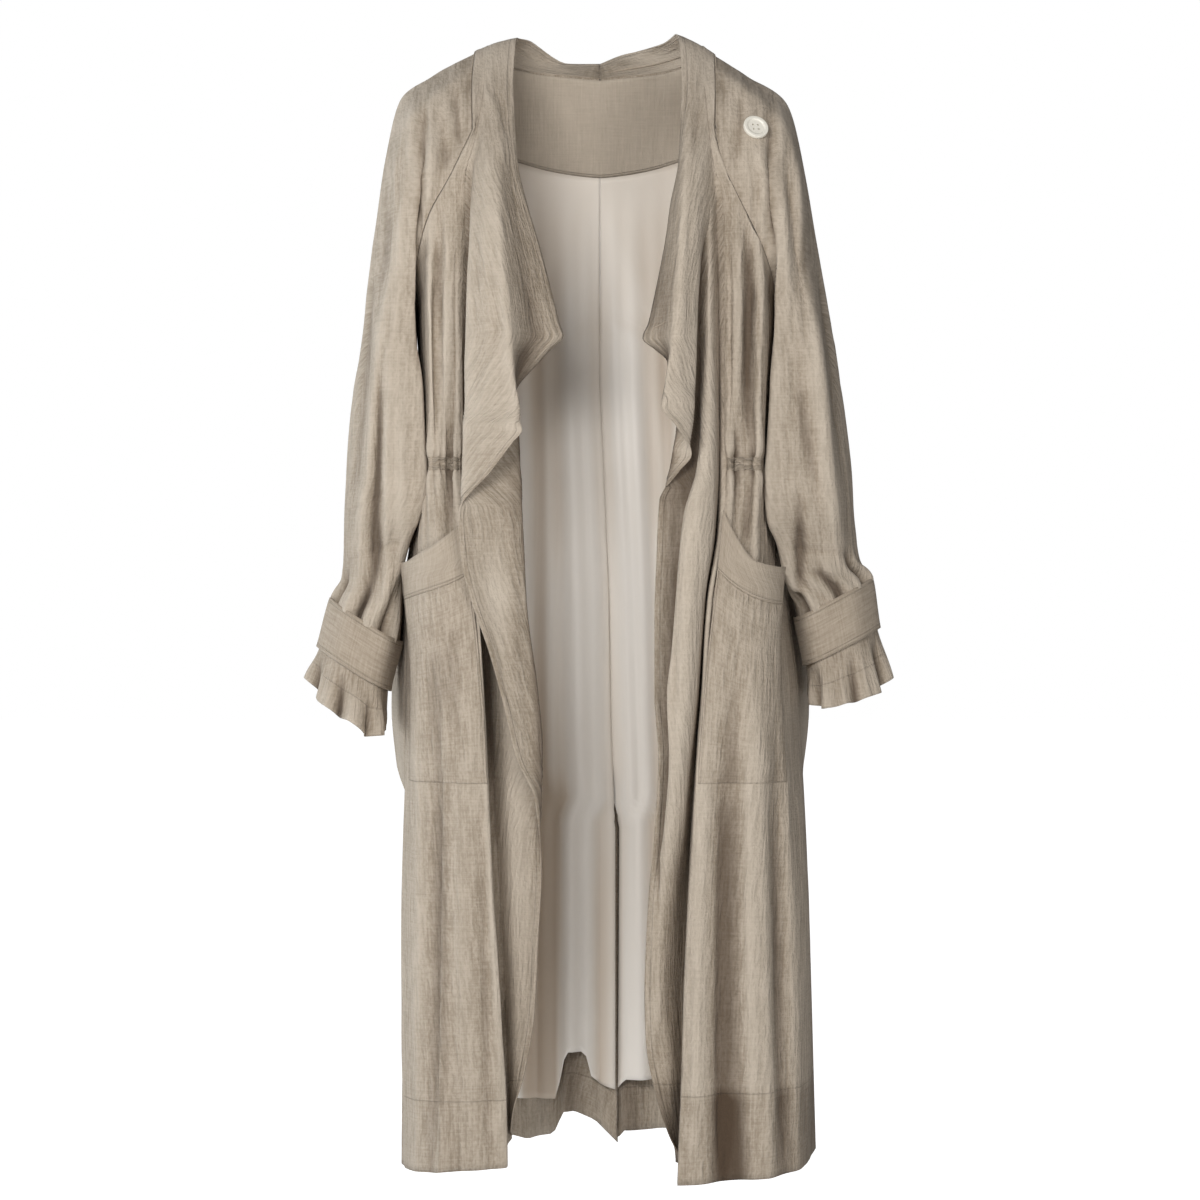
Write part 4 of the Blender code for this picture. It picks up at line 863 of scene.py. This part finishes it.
# The facing's lower edge falls from side to centre; glow makes it paler, as daylight comes through it
facingLook = {"columns": 40, "rows": 24, "edge": -52, "dip": 28, "glow": -0.9, "belowNeck": 2, "stitch": 2}


def backFoldsOf(side):
    folds = {"side": [row for row in side["folds"]["side"] if row[0] < armpit] + side["backRaglan"]}
    for name, rows in backFolds.items():
        folds[name] = [(height, side["sign"] * across, depth) for height, across, depth in rows]
    return folds


def backLine(folds, height, reach, step):
    line = section(folds, height, neckBack)
    line[:, 1] -= step * np.clip(1 - np.abs(line[:, 0]) / backLook["ventWide"], 0, 1)
    if reach > 0:
        outside = -0.2 if step > 0 else 0.1
        line = np.vstack([line, line[-1] + (-np.sign(line[0, 0]) * reach, outside * reach)])
    return shortened(line, seamGap, seamGap if reach == 0 else max(-reach, 0))


def backGrid(side, reach, step, columns):
    folds = backFoldsOf(side)
    rows, heights = [], []
    for height in np.linspace(backLook["hem"], armpit, backLook["rows"]):
        slant = np.clip((ventTop - height) / backLook["ventSlant"], 0, 1)
        parted = np.clip((ventTop - height) / backLook["ventPart"] + 1, 0, 1)
        rows.append(atHeight(backLine(folds, height, reach * slant, step * parted), height))
        heights.append(height)
    for share in np.linspace(0, 1, backLook["shoulderRows"] + 1)[1:-1]:
        height = armpit + share * (neckBack - armpit)
        row = atHeight(backLine(folds, height, 0, 0), height)
        row[:, 2] += share * (neckCentre - neckBack) * np.linspace(0, 1, len(row))
        rows.append(row)
        heights.append(height)
    places = np.linspace(shoulderRow, len(side["neckSeam"]) - 1, columns + 1)
    neck = np.array([along(side["neckSeam"], place) for place in places])
    rows.append(shortened(neck, seamGap, seamGap) - (0, 0, 0.15))
    return evenRows(rows, columns, 2), np.array(heights + [neckBack])


def waved(grid, up, look):
    # a hem that swings above and below its level
    table = np.array(look["hemWave"], float)
    grid = grid.copy()
    grid[:, :, 2] += np.interp(grid[:, :, 0], table[:, 0], table[:, 1]) * soft(1 - up / look["waveReach"])
    return grid


def buildBack(name, side):
    reach, step = backLook["vent"][name]
    grid, heights = backGrid(side, reach, step, backLook["columns"])
    u, v = columnRun(grid), rowRun(grid)
    sewn = soft(u / 25) * soft((u[:, -1:] - u) / 30) * soft((v[-1:] - v) / 25)
    normals = facing(grid, side["sign"])
    grid = grid + normals * (sewn * crinkle(u, v, side["seed"] + 5))[..., None]
    # painted shade in troughs and painted highlight on crests, a little weaker on the back
    shade = 0.7 * hollows(grid, normals)
    grid = waved(grid, v, backLook)
    seams = np.minimum(u, u[:, -1:] - u)
    stitches = np.stack([np.full_like(u, farEdge), v - backLook["hemStitch"], seams], 2)
    weave = sheetUv(grid, backLook["weaveFrom"])
    piece = clothPiece("back" + name.capitalize(), grid, weave, clothThick, linen, stitches, shade=shade)
    settle(piece, "back_" + name, grid, (0.42, 1.2), ["sleeve_" + name])
    return grid, heights


def facingEdge(share):
    return facingLook["edge"] - facingLook["dip"] * np.sin(share * math.pi / 2)


def buildLining(name, side):
    look, sign = liningLook, side["sign"]
    grid, heights = backGrid(side, look["reach"][name], backLook["vent"][name][1], look["columns"])
    normals = facing(grid, sign)
    share = np.linspace(0, 1, look["columns"] + 1)[None, :]
    up = np.linspace(0, 1, look["rows"] + 1)[:, None]
    heightAt = look["hem"] + (facingEdge(share) - 0.8 - look["hem"]) * up
    hang = look["hang"] * np.clip(4 * (1 - up), 0, 1)
    lift = -(clothThick + layGap + 0.2 + hang) + 0 * share
    made = laidOn(grid, heights, normals, share * look["columns"] + 0 * up, heightAt, lift)
    u, v = columnRun(made), rowRun(made)
    waves = 1.2 * lumps(u / 21, v / 300, side["seed"] + 71) + 1.2
    for topAt, hemAt, width, depth in look["folds"]:
        middle = hemAt + (topAt - hemAt) * up
        waves += depth * np.exp(-((made[:, :, 0] - middle) / width) ** 2) * (0.45 + 0.55 * (1 - up))
    free = soft((u[:, -1:] - u) / 18) * soft(u / 30) * np.clip(3 * (1 - up), 0, 1)
    made[:, :, 1] -= waves * free
    made = waved(made, v, look)
    closed = made[:, :, 2] > ventTop
    own = sign * np.maximum(sign * made[:, :, 0], look["centreGap"])
    made[:, :, 0] = np.where(closed, own, made[:, :, 0])
    drift = np.array(look["seamDrift"], float)
    nearCentre = soft(1 - (u[:, -1:] - u) / look["driftReach"])
    made[:, :, 0] += np.interp(made[:, :, 2], drift[:, 0], drift[:, 1]) * nearCentre
    # painted shade in the lining's fold troughs and painted highlight on their crests
    flat = smoothColumns(made, look["shadeColumns"])
    shade = np.clip((made - flat)[:, :, 1] / look["shadeDeep"], -1, 1)
    stitches = np.full((*u.shape, 3), farEdge)
    stitches[:, :, 0] = u[:, -1:] - u
    piece = clothPiece("lining" + name.capitalize(), made, sheetUv(made), liningThick, satin, stitches,
                       shade=shade)
    settle(piece, "lining_" + name, made, (0.38, 1.05), ["back_" + name])


def buildFacing(backs):
    halves = []
    for name in ("right", "left"):
        grid, heights = backs[name]
        columns = grid.shape[1] - 1
        normals = facing(grid, sides[name]["sign"])
        share = np.linspace(0, 1, facingLook["columns"] + 1)[None, :]
        up = np.linspace(0, 1, facingLook["rows"] + 1)[:, None]
        heightAt = facingEdge(share) + (neckBack - facingLook["belowNeck"] - facingEdge(share)) * up
        lift = np.full(heightAt.shape, -(clothThick + layGap))
        halves.append(laidOn(grid, heights, normals, share * columns + 0 * up, heightAt, lift))
    grid = np.concatenate([halves[0][:, :-1], halves[1][:, ::-1]], axis=1)
    u, v = columnRun(grid), rowRun(grid)
    grid = pushed(grid, -1, 0.3 * crinkle(u, v, 90))
    far = np.full_like(u, farEdge)
    stitches = np.stack([v - facingLook["stitch"], far, far], 2)
    flatUv = [(0, grid.shape[1] - 1, grid[:, :, [0, 2]])]
    piece = clothPiece("backNeckFacing", grid, flatUv, clothThick, linenPressed, stitches,
                       shade=np.full_like(u, facingLook["glow"]))
    settle(piece, "back_neck_facing", grid, (0.36, 0.12), ["back_right", "back_left"])


# Raglan sleeves with gathered cuffs, and their straps

sleeveLook = {
    "columns": 180, "raglanRows": 60, "armRows": 120, "underarm": 0.8, "radius": 72, "shoulderWeave": 0.76,
    "softness": 8, "cuffSoftness": 13, "cuffStitch": 22, "frontShare": 0.56,
    # cuff pleats: (share round from the underarm, width, depth)
    "pleats": {"right": [(0.17, 0.028, 13), (0.30, 0.022, 12), (0.45, 0.03, 9), (0.62, 0.03, 8),
                         (0.82, 0.03, 8)],
               "left": [(0.13, 0.028, 13), (0.29, 0.02, 8), (0.43, 0.026, 13), (0.62, 0.03, 8),
                        (0.82, 0.03, 8)]},
    # where the pleats start, end at the strap and start again below it, in rings from the armpit
    "pleatsFrom": (5.2, 1.6), "pleatsEnd": 0.25, "pleatsBelow": 0.9, "pleatsAbove": 1.1,
    # how far the cuff's end hangs off its level: (share round from the underarm, up)
    "endWave": [(0, 0), (0.2, -12), (0.38, -12), (0.5, 0), (0.75, 8), (1, 0)],
}
# Creases seen from the front or the back: (from across, from height, to across, to height, width, depth)
sleeveCreases = {
    "right": [(-181, -30, -182, -300, 5, -12), (-171, -60, -173, -260, 6, 5), (-161, -45, -153, -120, 6, -4),
              (-149, -14, -141, -92, 4, -4), (-226, -280, -233, -560, 9, -13), (-213, -290, -219, -550, 5, 6),
              (-200, -300, -202, -540, 8, 4), (-205, -60, -228, -250, 9, -5), (-194, -60, -208, -300, 6, 3),
              (-238, -180, -252, -440, 7, -7), (-200, -480, -262, -500, 4, -2),
              (-215, -430, -262, -452, 4, -1.6)],
    "left": [(175, -30, 172, -290, 5, -11), (184, -60, 190, -260, 6, 4), (183, -80, 213, -270, 7, -5),
             (147, -20, 136, -104, 5, -4), (203, -430, 207, -570, 6, -9), (190, -488, 254, -494, 4, -2.4),
             (194, -512, 254, -518, 4, -2.2), (196, -290, 228, -480, 8, -5), (160, -100, 155, -185, 5, -4),
             (228, -170, 246, -400, 8, -5), (214, -220, 236, -440, 7, 3)],
}
sleeveBackCreases = {
    "right": [(-190, -60, -205, -260, 9, -4), (-215, -300, -222, -500, 10, -4),
              (-200, -470, -262, -488, 5, -2), (-236, -220, -250, -380, 9, -2)],
    "left": [(178, -60, 192, -250, 9, -4), (206, -310, 214, -510, 10, -4), (192, -480, 254, -496, 5, -2),
             (226, -230, 240, -390, 9, -2)],
}
strapLook = {"rings": (7, 8), "softness": 13, "clear": 3.2, "thick": 2.2, "rows": 14, "stitch": 4}


def seamPoint(rows, height, share):
    across, depth = onFold(rows, height)
    return (across + math.copysign(sleeveLook["underarm"] * max(0.0, 1 - 1.6 * share), across), depth, height)


def ringPoints(ring):
    middle = 0.35 * ring["inner"] + 0.65 * ring["outer"]
    innerBack = 0.95 * ring["inner"] + 0.05 * ring["outer"]
    corners = [(ring["inner"], 0), (ring["ridge"], ring["front"]), (middle, 0.94 * ring["front"]),
               (ring["outer"], 0), (middle, 0.94 * ring["back"]), (innerBack, ring["back"]),
               (ring["inner"], 0)]
    fall = math.tan(math.radians(ring["tilt"]))
    centre = (ring["inner"] + ring["outer"]) / 2
    towardsBody = math.copysign(1, ring["inner"] - ring["outer"])
    return [(x, y, ring["height"] - fall * (x - centre) * towardsBody) for x, y in corners]


def buildSleeve(name, side):
    columns, sign = sleeveLook["columns"], side["sign"]
    places = ("ridge", "front", "outer", "back", "innerBack")
    neck = np.array([along(side["neckSeam"], place) for place in np.linspace(0, shoulderRow, columns + 1)])
    stations = [neck[np.round(np.linspace(0, columns, 7)[1:-1]).astype(int)]]
    stations += [np.array([station[key] for key in places], float) for station in side["stations"]]
    seams = np.array([1.0] + [station["seam"] for station in side["stations"]])
    middles = np.array(stations).reshape(len(seams), -1)
    rows = [shortened(neck, seamGap, seamGap) + np.array([sign * 0.8, 0, -0.3])]
    for share in np.linspace(1, 0, sleeveLook["raglanRows"] + 1)[1:]:
        middle = spline(seams[::-1], middles[::-1], share).reshape(-1, 3)
        start = seamPoint(side["folds"]["side"], armpit + share * (neckFront - armpit), share)
        end = seamPoint(side["backRaglan"], armpit + share * (neckBack - armpit), share)
        gap = seamGap if share > 0 else 0.0
        rows.append(shortened(rounded([start, *middle, end], sleeveLook["softness"]), gap, gap))
    underarm = seamPoint(side["folds"]["side"], armpit, 0)
    top = [underarm, *stations[-1], seamPoint(side["backRaglan"], armpit, 0)]
    rings = np.array([top] + [ringPoints(dict(zip(ringColumns, ring))) for ring in side["rings"]], float)
    flat = rings.reshape(len(rings), -1)
    ringAt = np.linspace(0, len(rings) - 1, sleeveLook["armRows"] + 1)[1:]
    for place in ringAt:
        extra = sleeveLook["cuffSoftness"] - sleeveLook["softness"]
        softness = sleeveLook["softness"] + extra * soft((place - 5) / 1.5)
        rows.append(rounded(spline(np.arange(len(rings)), flat, place).reshape(-1, 3), softness))
    grid = evenRows(rows, columns, 3)
    ringAt = np.concatenate([np.zeros(len(grid) - len(ringAt)), ringAt])[:, None]
    u, v = columnRun(grid), rowRun(grid)
    sewn = margins(u, 25) * soft(v / 25)
    share = u / u[:, -1:]
    first, last = strapLook["rings"]
    pleatTop, pleatRise = sleeveLook["pleatsFrom"]
    above = soft((ringAt - pleatTop) / pleatRise) * (1 - soft((ringAt - first) / sleeveLook["pleatsEnd"]))
    below = soft((ringAt - last) / sleeveLook["pleatsBelow"])
    folded = sum(-deep * pleatShape((share - at) / wide) for at, wide, deep in sleeveLook["pleats"][name])
    held = soft(np.abs(ringAt - (first + last) / 2) - 0.4)      # flat under the strap
    front = soft((sleeveLook["frontShare"] - share) / 0.06)
    # the weave goes round the arm below and lies flat over the shoulder, in a front and a back half
    armpitRow = grid[ringAt[:, 0] == 0][-1]
    centre = np.where(ringAt == 0, armpitRow[:, 0].mean(), grid[:, :, 0].mean(1, keepdims=True))
    outward = sign * (grid[:, :, 0] - centre)
    turn = sleeveLook["radius"] * np.arctan2(grid[:, :, 1], outward)
    flatter, middle = 1 - soft(ringAt / 2), columns // 2
    level = sleeveLook["shoulderWeave"] * outward - sleeveLook["radius"] * math.pi / 2
    frontTurn = turn + (level - turn) * flatter
    backTurn = turn + (-level - turn) * flatter
    weave = [(0, middle, np.stack([frontTurn, grid[:, :, 2]], 2)),
             (middle, columns, np.stack([backTurn, grid[:, :, 2]], 2))]
    fromTop = np.arange(columns + 1)[None, :] - middle
    turn = np.where(fromTop <= 0, frontTurn, backTurn)
    held = held * (1 - flatter * np.exp(-(fromTop / 8) ** 2))       # no step where the two halves meet
    moved = crinkle(turn, grid[:, :, 2], side["seed"] + 30) * held
    moved += creases(grid, sleeveCreases[name]) * front + creases(grid, sleeveBackCreases[name]) * (1 - front)
    moved = moved * sewn + folded * (below + sleeveLook["pleatsAbove"] * above) * margins(u, 12)
    normals = facing(grid, -sign)
    grid = grid + normals * moved[..., None]
    # painted shade in troughs and painted highlight on crests, none at the side edges
    shade = hollows(grid, normals) * margins(u, 12)
    wave = np.array(sleeveLook["endWave"])
    grid[:, :, 2] += np.interp(share, wave[:, 0], wave[:, 1]) * below
    far = np.full_like(u, farEdge)
    seam = np.where(ringAt == 0, np.minimum(u, u[:, -1:] - u), farEdge)
    stitches = np.stack([v[-1:] - v - sleeveLook["cuffStitch"], far, seam], 2)
    piece = clothPiece("sleeve" + name.capitalize(), grid, weave, clothThick, linen, stitches, True, shade)
    settle(piece, "sleeve_" + name, grid, (0.48, 0.80), ["front_" + name, "back_" + name])
    buildStrap(name, side, flat)
    return grid


def pleatShape(x):
    # a trough with a low ridge on each side
    return np.exp(-x * x) - 0.35 * np.exp(-(np.abs(x) - 2.0) ** 2)


def buildStrap(name, side, rings):
    rows = []
    for place in np.linspace(*strapLook["rings"], strapLook["rows"] + 1):
        corners = spline(np.arange(len(rings)), rings, place).reshape(-1, 3)
        rows.append(rounded(corners, strapLook["softness"]))
    grid = evenRows(rows, sleeveLook["columns"], 2)
    grid = pushed(grid, -side["sign"], np.full(grid.shape[:2], strapLook["clear"]))
    grid[:, -1] = grid[:, 0] = (grid[:, 0] + grid[:, -1]) / 2
    u, v = columnRun(grid), rowRun(grid)
    far = np.full_like(u, farEdge)
    lengthways = [(0, grid.shape[1] - 1, np.stack([v, u], 2))]
    stitches = np.stack([v - strapLook["stitch"], v[-1:] - v - strapLook["stitch"], far], 2)
    piece = clothPiece("cuffStrap" + name.capitalize(), grid, lengthways, strapLook["thick"], linenPressed,
                       stitches, True)
    settle(piece, "cuff_strap_" + name, grid, (0.05, 0.26), ["sleeve_" + name])


# Button on the left shoulder, and the sewn bar of a buttonhole on the left lapel

buttonLook = {"place": (157, -63), "width": 26, "thick": 4, "rim": 3.4, "dish": 1.2, "dishSlope": 1.2,
              "bevel": 0.7, "hole": 2.4, "holeOff": 2.6, "seat": 0.6}
buttonholeLook = {"from": (54, -268), "to": (66, -263), "width": 1.6, "lift": 0.3, "points": 9}
wellInFront = -400


def clothTree(grid):
    return BVHTree.FromPolygons([Vector(point) for point in grid.reshape(-1, 3)], quadsOf(grid))


def frontOf(cloth, across, height):
    # the point of the cloth that shows there from the front, and the way it faces
    place, normal, _, _ = cloth.ray_cast(Vector((across, wellInFront, height)), Vector((0, 1, 0)))
    return place, normal if normal.y < 0 else -normal


def buildButtonhole(front):
    look, cloth = buttonholeLook, clothTree(front)
    ends = np.array([look["from"], look["to"]])
    points = []
    for share in np.linspace(0, 1, look["points"]):
        place, normal = frontOf(cloth, *((1 - share) * ends[0] + share * ends[1]))
        points.append((place + normal * (clothThick / 2 + look["lift"])) * mm)
    curve = bpy.data.curves.new("buttonhole", "CURVE")
    curve.dimensions = "3D"
    curve.bevel_depth = look["width"] / 2 * mm
    curve.bevel_resolution = 3
    curve.use_fill_caps = True
    line = curve.splines.new("POLY")
    line.points.add(len(points) - 1)
    for spot, point in zip(line.points, points):
        spot.co = (*point, 1)
    bar = bpy.data.objects.new("buttonhole", curve)
    bpy.context.collection.objects.link(bar)
    choose(bar)
    bpy.ops.object.convert(target="MESH")
    bar.data.materials.append(thread)
    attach(bar, "root")


def buildButton(sleeve):
    look = buttonLook
    place, normal = frontOf(clothTree(sleeve), *look["place"])
    bpy.ops.object.select_all(action="DESELECT")
    bpy.ops.mesh.primitive_cylinder_add(vertices=96, radius=look["width"] / 2 * mm, depth=look["thick"] * mm)
    button = bpy.context.object
    button.name = "shoulderButton"
    bpy.ops.object.mode_set(mode="EDIT")
    bpy.ops.mesh.select_mode(type="FACE")
    bpy.ops.mesh.select_all(action="DESELECT")
    bpy.ops.object.mode_set(mode="OBJECT")
    for polygon in button.data.polygons:
        polygon.select = polygon.normal.z > 0.9
    bpy.ops.object.mode_set(mode="EDIT")
    bpy.ops.mesh.inset(thickness=look["rim"] * mm)
    bpy.ops.mesh.inset(thickness=look["dishSlope"] * mm, depth=-look["dish"] * mm)
    bpy.ops.object.mode_set(mode="OBJECT")
    bevel = button.modifiers.new("bevel", "BEVEL")
    bevel.width = look["bevel"] * mm
    bevel.segments = 4
    bevel.limit_method = "ANGLE"
    bpy.ops.object.modifier_apply(modifier=bevel.name)
    off = look["holeOff"] * mm
    for x, y in ((off, off), (off, -off), (-off, off), (-off, -off)):
        bpy.ops.mesh.primitive_cylinder_add(vertices=24, radius=look["hole"] / 2 * mm,
                                            depth=5 * look["thick"] * mm, location=(x, y, 0))
        cutter = bpy.context.object
        hole = button.modifiers.new("hole", "BOOLEAN")
        hole.object = cutter
        hole.solver = "EXACT"
        bpy.context.view_layer.objects.active = button
        bpy.ops.object.modifier_apply(modifier=hole.name)
        bpy.data.objects.remove(cutter)
    button.data.materials.clear()
    button.data.materials.append(horn)
    choose(button)
    button.rotation_mode = "QUATERNION"
    button.rotation_quaternion = normal.to_track_quat("Z", "Y")
    button.location = (place + normal * (clothThick / 2 + look["seat"] + look["thick"] / 2)) * mm
    bpy.ops.object.transform_apply(location=True, rotation=True, scale=True)
    bpy.ops.object.shade_smooth_by_angle(angle=math.radians(40))
    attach(button, "root")
    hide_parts("shoulder_button")


backs = {}
for name, side in sides.items():
    print("half", name)
    front, plain, heights = buildFront(name, side)
    buildPocket(name, side, plain, heights)
    buildChannel(name, side, front[:len(heights), :plain.shape[1]], heights)
    backs[name] = buildBack(name, side)
    buildLining(name, side)
    sleeve = buildSleeve(name, side)
buildFacing(backs)
buildButton(sleeve)     # the left side comes last
buildButtonhole(front)

# Floor, light and camera

print("studio")
# The floor's glow and the sky are for light on the coat; the camera sees both as white
studio = {"floor": -1.40, "floorGlow": 0.05, "sky": 0.10, "cameraPlace": (0, -3.4, -0.5408), "lens": 98.07}
bpy.ops.object.select_all(action="DESELECT")
bpy.ops.mesh.primitive_plane_add(size=40, location=(0, 0, studio["floor"]))
floor = bpy.context.object
floor.name = "floor"
paper, paperShader, start = newMaterial("paper", Base_Color=(0.9, 0.9, 0.9, 1), Roughness=0.9,
                                        Emission_Strength=1.0)
glow = studio["floorGlow"]
seen = start.node("ShaderNodeLightPath")
seen.mixed((glow, glow, glow, 1), (1, 1, 1, 1)).into(paperShader, "Emission Color")
floor.data.materials.append(paper)


def areaLight(name, place, aim, size, power, colour):
    data = bpy.data.lights.new(name, "AREA")
    data.shape = "RECTANGLE"
    data.size, data.size_y = size
    data.energy = power
    data.color = colour
    lamp = bpy.data.objects.new(name, data)
    lamp.location = place
    lamp.rotation_euler = (Vector(aim) - Vector(place)).to_track_quat("-Z", "Y").to_euler()
    bpy.context.collection.objects.link(lamp)


areaLight("window", (-2.2, 0.9, -0.2), (0, 0, -0.5), (1.4, 2.6), 36, (0.90, 0.96, 1.0))
areaLight("side", (-2.5, -1.1, -0.1), (0, 0, -0.5), (0.7, 1.4), 13, (0.97, 0.985, 1.0))
areaLight("key", (-0.65, -2.6, 0.30), (0, 0, -0.2), (1.0, 0.8), 46, (1.0, 0.985, 0.96))
areaLight("fill", (1.4, -2.8, -0.2), (0, 0, -0.6), (1.2, 1.2), 21, (1.0, 0.97, 0.93))
world = bpy.data.worlds.new("studio")
world.use_nodes = True
sky = Wire(world.node_tree)
seen = sky.node("ShaderNodeLightPath")
strength = seen * (1.0 - studio["sky"]) + studio["sky"]
background = world.node_tree.nodes["Background"]
background.inputs["Color"].default_value = (1, 1, 1, 1)
strength.into(background, "Strength")
bpy.context.scene.world = world
bpy.context.scene.view_settings.view_transform = "Standard"

lens = bpy.data.cameras.new("camera")
lens.lens = studio["lens"]
camera = bpy.data.objects.new("camera", lens)
camera.location = studio["cameraPlace"]
camera.rotation_euler = (math.radians(90), 0, 0)
bpy.context.collection.objects.link(camera)
bpy.context.scene.camera = camera
